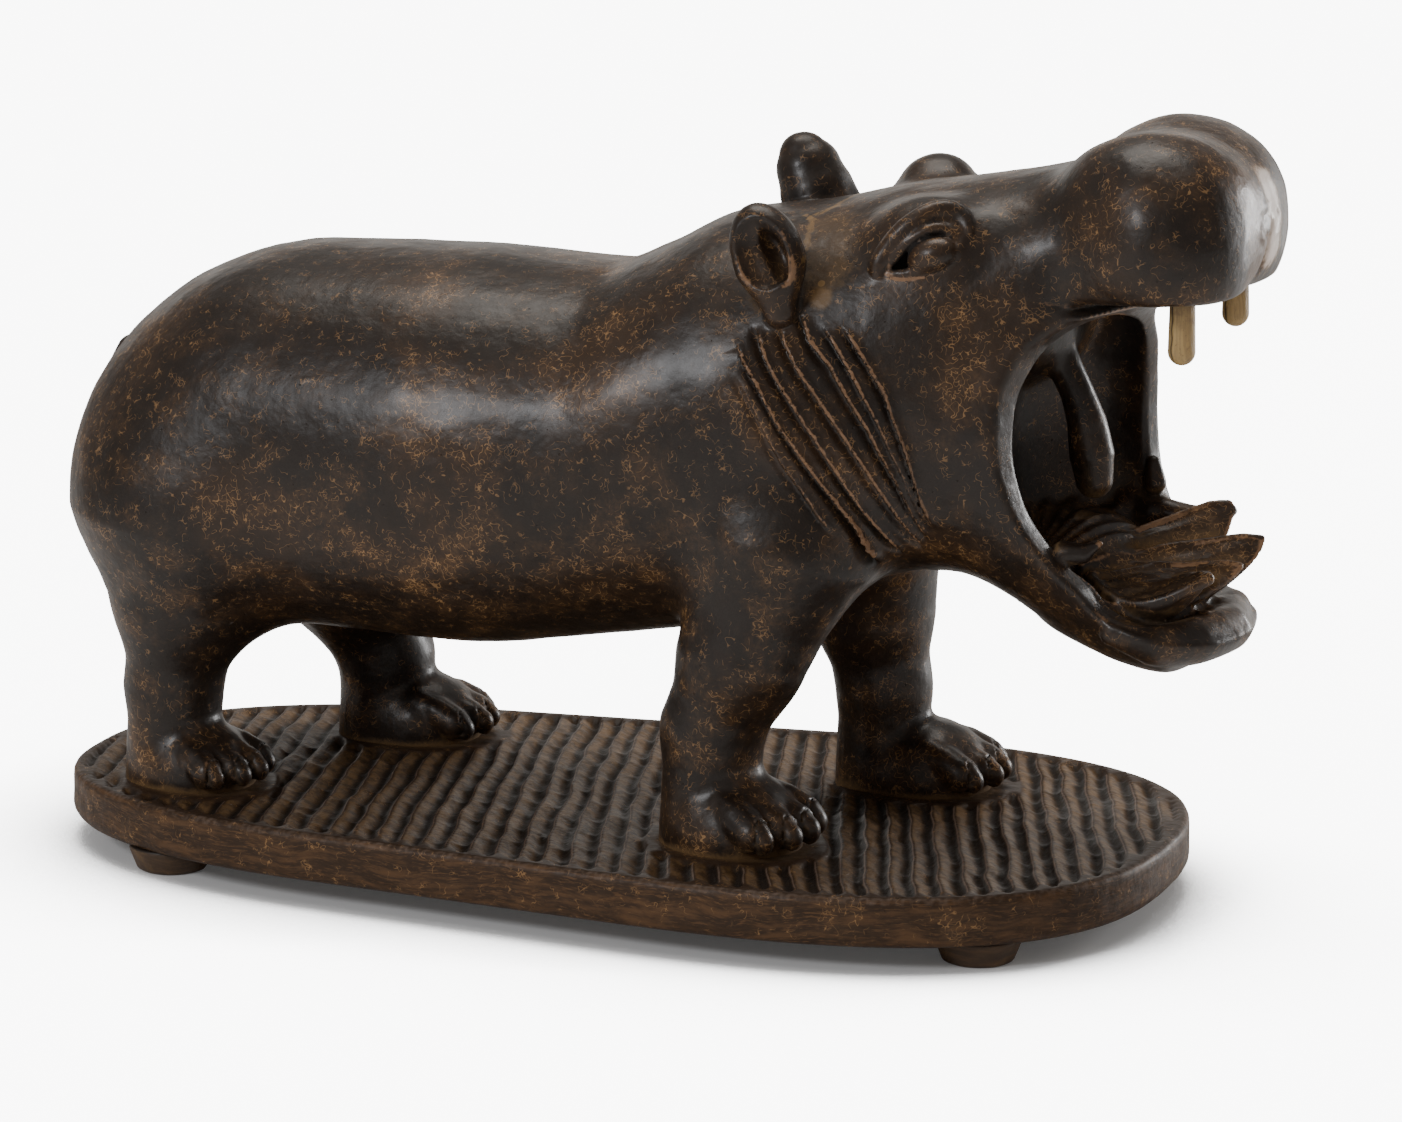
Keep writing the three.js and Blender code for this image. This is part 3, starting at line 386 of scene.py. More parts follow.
def foot_frame(x, y, l):
    """Places along and across a foot, in the units of a foot of size 1."""
    c, s = math.cos(math.radians(l.turn)), math.sin(math.radians(l.turn))
    dx, dy = x - l.ankle[0], y - l.ankle[1]
    return (dx * c + dy * s) / l.size, (dy * c - dx * s) / l.size


def foot(x, y, z, l):
    u, v = foot_frame(x, y, l)
    centre = (l.ahead / l.size - FOOT.back, 0, FOOT.sole)
    return oval(u, v, z / l.size, centre, FOOT.r) * l.size


def toes(f, x, y, z, l):
    u, v = foot_frame(x, y, l)
    w = z / l.size
    ahead = l.ahead / l.size
    found = f / l.size
    for i in range(TOE.count):
        q = i - (TOE.count - 1) / 2
        reach = TOE.reach - q * q * TOE.drop / l.size
        path = [(ahead + t * reach, q * TOE.pitch * spread, level) for t, spread, level in TOE_LINE]
        toe = chain(u, v, w, path, [share * TOE.radius for share in TOE_SWELL])
        found = join(found, toe, 1.6)
        at_u, at_v = path[-1][0] + NAIL.back, path[-1][1] * 1.02
        found = join(found, oval(u, v, w, (at_u, at_v, NAIL.z), NAIL.r), NAIL.soft)
        groove = np.abs(oval(u, v, w, (at_u + 1, at_v, NAIL.z + 1.5), NAIL.groove))
        found = cut(found, groove - 0.3, 0.6)
    return found * l.size


# Small carved features
def flank(x, z, side):
    """How far out the cheek or neck reaches at places given in side view, by halving."""
    inner = np.full(np.shape(x), 4.0)
    outer = np.full(np.shape(x), 112.0)
    for _ in range(18):
        middle = (inner + outer) / 2
        out = browed(x, side * middle, z, head_and_trunk(x, side * middle, z)) > 0
        outer = np.where(out, middle, outer)
        inner = np.where(out, inner, middle)
    return side * outer


def fold_relief(x, z):
    """Height of the neck's folds at places given in side view: sharp crests, each with a valley behind it."""
    lines = [np.asarray(crest, float).T for crest in FOLDS.crests]
    at = [np.interp(z, line[1], line[0]) for line in lines]
    power = []
    for line, strength in zip(lines, FOLDS.strength):
        ends = smooth_step(0, FOLDS.fade, z - line[1][0]) * smooth_step(0, FOLDS.fade, line[1][-1] - z)
        power.append(strength * ends)
    at = [at[0] - FOLDS.full_gap, *at, at[-1] + FOLDS.full_gap]
    power = [0, *power, 0]
    total = np.zeros(np.shape(x))
    for before, after, rear, front in zip(at, at[1:], power, power[1:]):
        gap = np.maximum(after - before, 1.5)
        u = (x - before) / gap
        inside = (u >= 0) & (u < 1)
        shape = np.interp(u, *FOLD_SHAPE) * np.minimum(gap / FOLDS.full_gap, 1)
        total += np.where(inside, shape * np.where(u < 0.52, rear, front), 0)
    return total * FOLDS.height


def lid_chain(brow, start, end, long, high, low, sunk, radius):
    steps = 20
    t = np.radians(np.linspace(start, end, steps + 1))
    tilt = math.radians(EYE.tilt)
    u = long * np.cos(t)
    v = np.where(np.sin(t) > 0, high, low) * np.sin(t) * (1 + EYE.taper * (np.cos(t) - 1))
    x = brow.at[0] + brow.eye[0] - 1.5 + u * math.cos(tilt) - v * math.sin(tilt)
    z = brow.at[2] + brow.eye[1] + 0.5 + u * math.sin(tilt) + v * math.cos(tilt)
    y = flank(x, z, brow.side) - brow.side * sunk
    share = np.linspace(0, 1, steps + 1)
    radii = radius * (0.3 + 0.7 * smooth_step(0, 0.3, share) * smooth_step(0, 0.22, 1 - share))
    return np.stack((x, y, z), axis=1), radii


def eye_parts(brow):
    x, z = brow.at[0] + brow.eye[0], brow.at[2] + brow.eye[1]
    y = float(flank(np.array([x]), np.array([z]), brow.side)[0])
    spans = (-12, 196, EYE.brow), (8, 178, EYE.fold), (182, 352, EYE.lower)
    lids = [lid_chain(brow, start, end, *lid) for start, end, lid in spans]
    return Form(side=brow.side, at=(x, y, z), lids=lids)


def carve_eye(f, x, y, z, eye):
    ex, ey, ez = eye.at
    f = cut(f, turned_oval(x, y, z, (ex - 2, ey, ez - 0.5), EYE.hollow, EYE.tilt), 1.5)
    f = join(f, turned_oval(x, y, z, (ex + 2.6, ey - eye.side * 3, ez - 0.8), EYE.ball, 22), 0.5)
    for path, radii in eye.lids:
        f = join(f, chain(x, y, z, path, radii), 1.4)
    return f


def carve_right_ear(f, x, y, z):
    ax, ay, az = EAR.at
    cup = turned_oval(x, y, z, (ax - 1, ay + 2, az + 2.5), EAR.cup, EAR.tilt)
    cup = join(cup, chain(x, y, z, EAR.taper, EAR.taper_radii), 5)
    f = join(f, cup, 3)
    f = cut(f, turned_oval(x, y, z, (ax, ay - 12, az + 4), EAR.dish, EAR.tilt), 1.3)
    return cut(f, turned_oval(x, y, z, (ax + 3.5, ay - 6, az + 2), EAR.slot, EAR.tilt + 6), 1.5)


def carve_left_ear(f, x, y, z):
    ear = chain(x, y, z, EAR.left, EAR.left_radii)
    for scoop in EAR.left_scoops:
        ear = cut(ear, oval(x, y, z, *scoop), 3)
    return join(f, ear, 4)


def petal_axes(leaf):
    """Where a petal starts, its length, and its directions along, across and up."""
    root = np.asarray(PETAL_ROOT, float)
    along = np.asarray(leaf.tip, float) - root
    length = np.linalg.norm(along)
    along /= length
    side = np.cross((0, 0, 1), along)
    side /= np.linalg.norm(side)
    return root, length, along, side, np.cross(along, side)


def petal_width(leaf, t):
    """A petal's half width at shares of its length, and how much its end narrows there."""
    blunt = np.maximum(1 - np.maximum(0, (t - 0.45) / 0.55) ** 1.9, 0.012) ** 0.6
    return leaf.half * (0.3 + 0.7 * np.sin(np.minimum(1, t / 0.72) * np.pi / 2)) * blunt, blunt


def petal(x, y, z, leaf):
    root, length, along, side, up = petal_axes(leaf)
    dx, dy, dz = x - root[0], y - root[1], z - root[2]
    t = (dx * along[0] + dy * along[1] + dz * along[2]) / length
    inner = np.clip(t, 0.001, 0.999)
    width, blunt = petal_width(leaf, inner)
    across = dx * side[0] + dy * side[1] + dz * side[2]
    above = dx * up[0] + dy * up[1] + dz * up[2] + leaf.sag * np.sin(np.pi * inner)
    above = above - leaf.bank * across * np.sin(np.pi * np.minimum(inner, 0.62))
    dish = leaf.dish * (1 - np.clip(across / np.maximum(width, 1), -1, 1) ** 2) * smooth_step(0.95, 0.6, inner)
    f = section(across, above + dish * 0.8, 0, np.maximum(width, 1), np.maximum(leaf.thick * blunt, 0.8),
                PETAL_EDGE)
    return np.maximum(f, np.maximum(-t, t - 1) * length)


def petal_rim(leaf):
    """Path and radii of the thick rim along a petal's upper edge, up to its blunt tip."""
    root, length, along, side, up = petal_axes(leaf)
    t = np.linspace(0.18, 0.985, 11)
    width, blunt = petal_width(leaf, t)
    across = leaf.rim * width * 0.9
    height = leaf.bank * across * np.sin(np.pi * np.minimum(t, 0.62)) - leaf.sag * np.sin(np.pi * t)
    height += 0.25 * leaf.thick * blunt
    path = root + along * (t * length)[:, None] + side * across[:, None] + up * height[:, None]
    return Form(path=path, radii=leaf.rib * (0.5 + 0.5 * t), soft=1.2)


def fan_relief(x, y, z):
    """Height of the ribs that fan out over the floor of the mouth."""
    dx, dy = x - FAN.at[0], y - FAN.at[1]
    away = np.hypot(dx, dy)
    angle = np.degrees(np.arctan2(dy, dx)) + 3 * np.sin(away * 0.08)
    turn = (angle - FAN.first) / (FAN.last - FAN.first)
    crest = np.abs((turn * FAN.count) % 1 * 2 - 1) ** 1.5 - 0.4
    ends = smooth_step(6, 20, away) * smooth_step(92, 74, away) * smooth_step(0, 0.06, turn)
    ends *= smooth_step(1, 0.9, turn) * smooth_step(FAN.high[2], FAN.high[2] - 7, z)
    return FAN.height * crest * ends


def carve_mouth(f, x, y, z):
    f = cut(f, ball(x, y, z, THROAT_PIT), THROAT_PIT.soft)
    for form in (THROAT_WALL, MOUND):
        f = join(f, ball(x, y, z, form), form.soft)
    for form in (LOBE_OF_THROAT, KNOB, LIP):
        f = join(f, rope(x, y, z, form), form.soft)
    leaves = petal(x, y, z, PETALS[0])
    for leaf in PETALS[1:]:
        leaves = join(leaves, petal(x, y, z, leaf), 0.8)
    f = join(f, leaves, 1.5)
    f = join(f, rope(x, y, z, FAR_CREST), FAR_CREST.soft)
    f = f - np.where(within(x, y, z, FAN.low, FAN.high), fan_relief(x, y, z), 0)
    for form in (*PETAL_RIMS, SPIKE):
        f = join(f, rope(x, y, z, form), form.soft)
    return f


EYES = [eye_parts(brow) for brow in BROWS]
PETAL_RIMS = [petal_rim(leaf) for leaf in PETALS]


def carve_folds(f, x, y, z):
    return f - fold_relief(x, z) * smooth_step(25, 45, np.abs(y))


def add_legs(f, x, y, z):
    for l in LEGS:
        f = join(f, leg(x, y, z, l), BLEND.thigh if l.hip[0] < 0 else BLEND.hip)
    for l in LEGS:
        f = join(f, foot(x, y, z, l), BLEND.foot)
    return f


def add_tail(f, x, y, z):
    return join(f, rope(x, y, z, TAIL), 2)


def figure(x, y, z):
    """The whole animal, down into the plinth."""
    outer = head_and_trunk(x, y, z)
    f = browed(x, y, z, outer)
    f = locally(f, x, y, z, (-400, -200, -100), (400, 200, ABOVE_LEGS), add_legs)
    for l in LEGS:
        ax, ay = l.ankle[:2]
        f = locally(f, x, y, z, (ax - 30, ay - 50, -20), (ax + 75, ay + 50, 42), toes, l)
    f = cut(f, gape(x, y, z), BLEND.rim)
    f = cut(f, mouth_hollow(x, y, z, outer), BLEND.hollow)
    f = join(f, ball(x, y, z, TONGUE), BLEND.tongue)
    f = cut(f, ball(x, y, z, NOTCH), NOTCH.soft)
    f = locally(f, x, y, z, (60, -110, 100), (175, 110, 240), carve_folds)
    for eye in EYES:
        f = locally(f, x, y, z, *box_round([eye.at], 34), carve_eye, eye)
    f = locally(f, x, y, z, (55, -110, 200), (125, -35, 285), carve_right_ear)
    f = locally(f, x, y, z, (40, 5, 205), (115, 85, 300), carve_left_ear)
    f = locally(f, x, y, z, (140, -66, 66), (290, 66, 235), carve_mouth)
    f = locally(f, x, y, z, *box_round(TAIL.path, 22), add_tail)
    return np.maximum(f, -SOLE - z)


# From a field to a mesh
FAR = 99.0
CORNERS = np.array([(a, b, c) for a in (0, 1) for b in (0, 1) for c in (0, 1)])


def sampled(form, low, high, step, block=4):
    """The field on a grid, worked out only in the blocks that the surface passes through."""
    low = np.asarray(low, float)
    count = np.ceil((np.asarray(high, float) - low) / step / block).astype(int)
    wide = step * block
    centres = [low[a] + wide * (np.arange(count[a]) + 0.5) - step / 2 for a in range(3)]
    x, y, z = (grid.ravel() for grid in np.meshgrid(*centres, indexing="ij"))
    coarse = form(x, y, z).reshape(count)
    values = np.where(coarse < 0, -FAR, FAR).astype(np.float32)
    for axis in range(3):
        values = np.repeat(values, block, axis)
    blocks = np.argwhere(np.abs(coarse) < wide * 1.18 + 2)
    inner = np.stack(np.meshgrid(*[np.arange(block)] * 3, indexing="ij"), -1).reshape(-1, 3)
    for start in range(0, len(blocks), 12000):
        index = (blocks[start:start + 12000, None, :] * block + inner[None]).reshape(-1, 3)
        place = low + index * step
        values[tuple(index.T)] = form(*place.T)
    return values


def net(values, low, step):
    """Points and quads of the surface where a sampled field is zero, one point in each cell that it crosses."""
    inside = values < 0
    size = np.array(values.shape)
    cells = np.zeros(size - 1, np.uint8)
    for a, b, c in CORNERS:
        cells += inside[a:size[0] - 1 + a, b:size[1] - 1 + b, c:size[2] - 1 + c]
    active = np.argwhere((cells > 0) & (cells < 8))
    number = np.full(size - 1, -1, np.int32)
    number[tuple(active.T)] = np.arange(len(active))
    at_corner = np.stack([values[tuple((active + corner).T)] for corner in CORNERS], 1)
    total = np.zeros((len(active), 3))
    hits = np.zeros(len(active))
    edges_of_cell = [(i, j) for i in range(8) for j in range(i + 1, 8) if np.abs(CORNERS[j] - CORNERS[i]).sum() == 1]
    for i, j in edges_of_cell:
        crossed = (at_corner[:, i] < 0) != (at_corner[:, j] < 0)
        span = np.where(crossed, at_corner[:, i] - at_corner[:, j], 1)
        place = CORNERS[i] + (at_corner[:, i] / span)[:, None] * (CORNERS[j] - CORNERS[i])
        total[crossed] += place[crossed]
        hits[crossed] += 1
    points = np.asarray(low, float) + (active + total / hits[:, None]) * step
    quads = []
    for axis in range(3):
        edges = np.argwhere(np.diff(inside, axis=axis))
        u, v = [a for a in range(3) if a != axis]
        kept = (edges[:, u] > 0) & (edges[:, v] > 0)
        kept &= (edges[:, u] < size[u] - 1) & (edges[:, v] < size[v] - 1)
        edges = edges[kept]
        ring = []
        for du, dv in ((1, 1), (0, 1), (0, 0), (1, 0)):
            at = edges.copy()
            at[:, u] -= du
            at[:, v] -= dv
            ring.append(number[tuple(at.T)])
        quad = np.stack(ring[::-1] if axis == 1 else ring, 1)
        outward = inside[tuple(edges.T)]
        quad[~outward] = quad[~outward][:, ::-1]
        quads.append(quad)
    return points, np.vstack(quads)


def slope_of(form, points, reach=0.35):
    """Outward directions of the field at points, and its values there."""
    corners = np.array(((1, -1, -1), (-1, -1, 1), (-1, 1, -1), (1, 1, 1)), float)
    total = np.zeros_like(points)
    middle = np.zeros(len(points))
    for corner in corners:
        value = form(*(points + corner * reach).T)
        total += corner * value[:, None]
        middle += value / 4
    length = np.linalg.norm(total, axis=1)[:, None]
    return total / np.maximum(length, 1e-9), middle


def settle(form, points, rounds=2):
    """Points moved on to the surface."""
    for _ in range(rounds):
        normal, value = slope_of(form, points)
        points = points - normal * np.clip(value, -0.8, 0.8)[:, None]
    return points


def soft_noise(points, size, seed):
    """Smooth noise from -1 to 1 with lumps about that many millimetres wide."""
    q = points / size + seed * 17.31
    cell = np.floor(q).astype(np.int64)
    t = q - cell
    t = t * t * (3 - 2 * t)
    result = np.zeros(len(points))
    for a, b, c in CORNERS:
        n = (cell[:, 0] + a) * 73856093 ^ (cell[:, 1] + b) * 19349663 ^ (cell[:, 2] + c) * 83492791
        n = (n ^ (n >> 13)) * 1274126177 & 0xFFFFFF
        weight = np.where(a, t[:, 0], 1 - t[:, 0]) * np.where(b, t[:, 1], 1 - t[:, 1])
        result += (n / 0x7FFFFF - 1) * weight * np.where(c, t[:, 2], 1 - t[:, 2])
    return result


def mesh_object(name, points, faces):
    """A mesh of quads or triangles, given in millimetres in the carving's frame."""
    sides = faces.shape[1]
    mesh = bpy.data.meshes.new(name)
    mesh.vertices.add(len(points))
    mesh.vertices.foreach_set("co", to_row(points).astype(np.float32).ravel())
    mesh.loops.add(faces.size)
    mesh.loops.foreach_set("vertex_index", faces.astype(np.int32).ravel())
    mesh.polygons.add(len(faces))
    mesh.polygons.foreach_set("loop_start", np.arange(0, faces.size, sides, dtype=np.int32))
    mesh.polygons.foreach_set("use_smooth", np.ones(len(faces), bool))
    mesh.update(calc_edges=True)
    mesh.validate()
    piece = bpy.data.objects.new(name, mesh)
    bpy.context.scene.collection.objects.link(piece)
    return piece


def points_of(piece):
    """A piece's points in millimetres in the carving's frame."""
    flat = np.zeros(len(piece.data.vertices) * 3, np.float32)
    piece.data.vertices.foreach_get("co", flat)
    return flat.reshape(-1, 3).astype(float) * 1000 - OFFSET


def place_points(piece, points):
    piece.data.vertices.foreach_set("co", to_row(points).astype(np.float32).ravel())
    piece.data.update()


def store(piece, name, values):
    layer = piece.data.attributes.new(name, "FLOAT", "POINT")
    layer.data.foreach_set("value", np.asarray(values, np.float32))


def applied(piece):
    """The piece with its modifiers made part of its mesh."""
    bpy.context.view_layer.update()
    evaluated = piece.evaluated_get(bpy.context.evaluated_depsgraph_get())
    mesh = bpy.data.meshes.new_from_object(evaluated)
    old = piece.data
    piece.modifiers.clear()
    piece.data = mesh
    bpy.data.meshes.remove(old)
    mesh.name = piece.name
    return piece


def thinned(piece, triangles):
    """The piece with its least needed edges folded away."""
    count = sum(len(face.vertices) - 2 for face in piece.data.polygons)
    if count > triangles:
        modifier = piece.modifiers.new("Thin", "DECIMATE")
        modifier.ratio = triangles / count
        applied(piece)
    piece.data.shade_smooth()
    return piece


def ring_mesh(rings, capped=True):
    """Points and triangles of closed rings that follow each other; the first end is closed, the last if capped."""
    rings = [np.asarray(ring, float) for ring in rings]
    count = len(rings[0])
    points = [rings[0].mean(0)[None], *rings]
    around = np.arange(count)
    onward = (around + 1) % count
    quads = []
    for start in range(1, 1 + (len(rings) - 1) * count, count):
        a, b = start + around, start + onward
        quads.append(np.stack((a, b, b + count, a + count), 1))
    quads = np.vstack(quads)
    triangles = [quads[:, [0, 1, 2]], quads[:, [0, 2, 3]], np.stack((0 * around, 1 + onward, 1 + around), 1)]
    if capped:
        last = 1 + (len(rings) - 1) * count
        points.append(rings[-1].mean(0)[None])
        triangles.append(np.stack((0 * around + last + count, last + around, last + onward), 1))
    return np.vstack(points), np.vstack(triangles)


# Node trees
class Wire:
    """A node's output that can be added, multiplied and so on; each sum is a new node in its tree."""

    def __init__(self, socket):
        self.socket = socket

    def other(self, name):
        """Another output of the same node."""
        return Wire(self.socket.node.outputs[name])

    def __add__(self, value):
        return maths("ADD", self, value)

    def __sub__(self, value):
        return maths("SUBTRACT", self, value)

    def __rsub__(self, value):
        return maths("SUBTRACT", value, self)

    def __mul__(self, value):
        return maths("MULTIPLY", self, value)

    def __truediv__(self, value):
        return maths("DIVIDE", self, value)

    def __rtruediv__(self, value):
        return maths("DIVIDE", value, self)

    def __abs__(self):
        return maths("ABSOLUTE", self)


def tree_of(*values):
    """The tree of the first wire among the values."""
    return next(value.socket.id_data for value in values if isinstance(value, Wire))


def feed(socket, value):
    if isinstance(value, Wire):
        socket.id_data.links.new(value.socket, socket)
    elif value is not None:
        socket.default_value = value


def put(node, **values):
    """Feeds a node's inputs by name."""
    for name, value in values.items():
        if value is not None:
            feed(node.inputs[name.replace("_", " ")], value)


def new_node(tree, kind, settings=None, order=(), **values):
    """A node's first output, with its settings by name and its inputs in order or by name."""
    node = tree.nodes.new(kind)
    for name, value in (settings or {}).items():
        setattr(node, name, value)
    for socket, value in zip(node.inputs, order):
        feed(socket, value)
    put(node, **values)
    return Wire(node.outputs[0])


def maths(operation, *values, clamp=False):
    return new_node(tree_of(*values), "ShaderNodeMath", {"operation": operation, "use_clamp": clamp}, values)


def most(a, b):
    return maths("MAXIMUM", a, b)


def vectors(operation, a, b=None, scale=None):
    made = new_node(tree_of(a, b), "ShaderNodeVectorMath", {"operation": operation}, (a, b, None, scale))
    return made.other("Value") if operation in ("DISTANCE", "DOT_PRODUCT") else made


def split(value, kind="XYZ"):
    """The three parts of a vector, or of a colour where the kind is Color."""
    first = new_node(tree_of(value), "ShaderNodeSeparate" + kind, order=(value,))
    return first, first.other(1), first.other(2)


def ramp(value, low, high, to_low=0.0, to_high=1.0):
    """A soft step of a value from low to high."""
    return new_node(tree_of(value), "ShaderNodeMapRange", {"interpolation_type": "SMOOTHSTEP"},
                    (value, low, high, to_low, to_high))


def noise(place, scale, detail=2.0, roughness=0.5, seed=None):
    """A noise in space; its coloured output is the other one."""
    return new_node(tree_of(place), "ShaderNodeTexNoise", {"noise_dimensions": "3D" if seed is None else "4D"},
                    Vector=place, Scale=scale, Detail=detail, Roughness=roughness, W=seed)


def mixed(factor, a, b):
    """Two colours mixed; a Mix node keeps its colours in its seventh and eighth input."""
    return new_node(tree_of(factor), "ShaderNodeMix", {"data_type": "RGBA"}, (factor, *[None] * 5, a, b)).other(2)


def add_socket(tree, name, direction, kind, default=None):
    made = tree.interface.new_socket(name=name, in_out=direction, socket_type="NodeSocket" + kind)
    if default is not None:
        made.default_value = default


# Effects that several finishes share; every position is in millimetres
def shifted(place, seed):
    """A place moved far away by a seed, for a pattern of its own."""
    far = new_node(tree_of(place), "ShaderNodeCombineXYZ", X=seed * 137.0, Y=seed * 71.0, Z=seed * 29.0)
    return vectors("ADD", place, far)


def hair_marks(position, width, amount, seed):
    """Short curled hair-like marks, cut from the contour lines of three slowly changing noises."""
    start = shifted(position, seed)
    broken = noise(start, 0.17, 1.0, 0.5)
    limit = 0.6 - amount * 0.24
    total = None
    for scale, turn, pieces in ((0.15, 3.0, broken), (0.23, 7.0, 1.0 - broken), (0.34, 11.0, broken)):
        away = abs(noise(shifted(start, turn), scale, 1.0, 0.6) - 0.5)
        thin = width * (scale * 0.15)
        line = ramp(away, thin * 0.4, thin, 1.0, 0.0) * ramp(pieces, limit, limit + 0.1)
        total = line if total is None else most(total, line)
    return total


def clouds(position, size, cover, seed):
    """Broad cloudy patches."""
    low = 0.72 - cover * 0.4
    return ramp(noise(shifted(position, seed), 1.0 / size, 4.0, 0.62), low, low + 0.2)


def edge_wear(position, ridge, low, high):
    """Rubbed edges, broken up by a fine noise; on the plinth's board it also lays a painted highlight along the cut
    crests and edges.
    """
    rough = noise(position, 0.12, 3.0, 0.6) * 0.55 + noise(position, 0.7, 2.0, 0.6) * 0.35
    return ramp(ridge + (rough - 0.45), low, high)


def settled_dust(position, hollow, low, high):
    """Dust and old polish settled in hollows; on the pads it lays painted shadow under the board instead."""
    rough = noise(position, 0.08, 4.0, 0.65) * 0.7 + noise(position, 0.9, 2.0, 0.6) * 0.4
    return ramp(hollow + (rough - 0.55), low, high)


def mark(position, start, end, radius, width, ragged):
    """A mark along a line from one place to another, or a ring round it where it has a radius; it serves for stains
    and for painted shade and highlights.
    """
    wander = noise(position, 0.35, 3.0, 0.6) - 0.5
    span = vectors("SUBTRACT", end, start)
    reach = vectors("SUBTRACT", position, start)
    length = most(vectors("DOT_PRODUCT", span, span), 0.0001)
    share = maths("DIVIDE", vectors("DOT_PRODUCT", reach, span), length, clamp=True)
    nearest = vectors("ADD", start, vectors("SCALE", span, scale=share))
    away = vectors("DISTANCE", position, nearest) + wander * ragged
    return ramp(abs(away - radius), width * 0.5, width, 1.0, 0.0)


def hand_relief(position, dents, ripple, pits):
    """Height in millimetres of a hand-rubbed surface: dents, tool facets, fine ripple and pits."""
    cells = new_node(tree_of(position), "ShaderNodeTexVoronoi", {"feature": "F1"}, Vector=position, Scale=0.2)
    chosen = maths("GREATER_THAN", split(cells.other("Color"), "Color")[0], 0.62)
    height = noise(position, 0.11, 2.0, 0.5) * dents + noise(position, 0.8, 3.0, 0.6) * ripple
    return height - ramp(cells, 0.03, 0.1, 1.0, 0.0) * chosen * pits


def grain_streaks(position, stretch, low, high):
    """Long fibres that run along one direction of the wood."""
    wander = vectors("SUBTRACT", noise(position, 0.02, 2.0).other("Color"), (0.5, 0.5, 0.5))
    place = vectors("ADD", position, vectors("SCALE", wander, scale=14.0))
    return ramp(noise(vectors("MULTIPLY", place, stretch), 1.0, 5.0, 0.65), low, high)


# Each effect's output, and its inputs besides Position
EFFECTS = {
    hair_marks: ("Mask", {"Width": 0.3, "Amount": 0.5, "Seed": 0.0}),
    clouds: ("Mask", {"Size": 50.0, "Cover": 0.5, "Seed": 0.0}),
    edge_wear: ("Mask", {"Ridge": 0.0, "Low": 0.35, "High": 0.7}),
    settled_dust: ("Mask", {"Hollow": 0.0, "Low": 0.3, "High": 0.8}),
    mark: ("Mask", {"Start": (0, 0, 0), "End": (0, 0, 0), "Radius": 5.0, "Width": 1.0, "Ragged": 1.0}),
    hand_relief: ("Height", {"Dents": 0.12, "Ripple": 0.03, "Pits": 0.15}),
    grain_streaks: ("Mask", {"Stretch": (0.02, 0.2, 0.35), "Low": 0.45, "High": 0.7}),
}
EFFECT_TREES = {}


def effect_tree(effect):
    """The shader group of a shared effect, built once."""
    if effect not in EFFECT_TREES:
        output, inputs = EFFECTS[effect]
        tree = EFFECT_TREES[effect] = bpy.data.node_groups.new(effect.__name__, "ShaderNodeTree")
        for label, default in {"Position": (0, 0, 0), **inputs}.items():
            add_socket(tree, label, "INPUT", "Vector" if isinstance(default, tuple) else "Float", default)
        add_socket(tree, output, "OUTPUT", "Float")
        given = {item.name.lower(): Wire(item) for item in tree.nodes.new("NodeGroupInput").outputs if item.name}
        feed(tree.nodes.new("NodeGroupOutput").inputs[0], effect(**given))
    return EFFECT_TREES[effect]


# Finishes
class Finish:
    """A material in the making: its tree, its shader, the place in millimetres, and the tint painted so far."""

    def __init__(self, name, tint):
        self.material = bpy.data.materials.new(name)
        self.material.use_nodes = True
        self.tree = self.material.node_tree
        self.tree.nodes.clear()
        self.shader = self.tree.nodes.new("ShaderNodeBsdfPrincipled")
        output = self.tree.nodes.new("ShaderNodeOutputMaterial")
        self.tree.links.new(self.shader.outputs["BSDF"], output.inputs["Surface"])
        self.place = vectors("SCALE", new_node(self.tree, "ShaderNodeTexCoord").other("Object"), scale=1000.0)
        self.tint = (*tint, 1.0)

    def effect(self, effect, **values):
        return new_node(self.tree, "ShaderNodeGroup", {"node_tree": effect_tree(effect)}, Position=self.place,
                        **values)

    def attribute(self, name):
        return new_node(self.tree, "ShaderNodeAttribute", {"attribute_name": name}).other("Fac")

    def paint(self, mask, colour):
        """Lays a colour over the tint as far as the mask says."""
        self.tint = mixed(mask, self.tint, (*colour, 1.0))

    def done(self, relief=None, **inputs):
        """The material, with its tint, its relief in millimetres and other inputs of its shader."""
        if relief is not None:
            bump = new_node(self.tree, "ShaderNodeBump", Strength=1.0, Distance=0.001, Height=relief)
            put(self.shader, Normal=bump)
        put(self.shader, Base_Color=self.tint, **inputs)
        return self.material


def place_of(point):
    """A place in the carving's frame, in millimetres of the row's frame."""
    return tuple(float(a + b) for a, b in zip(point, OFFSET))


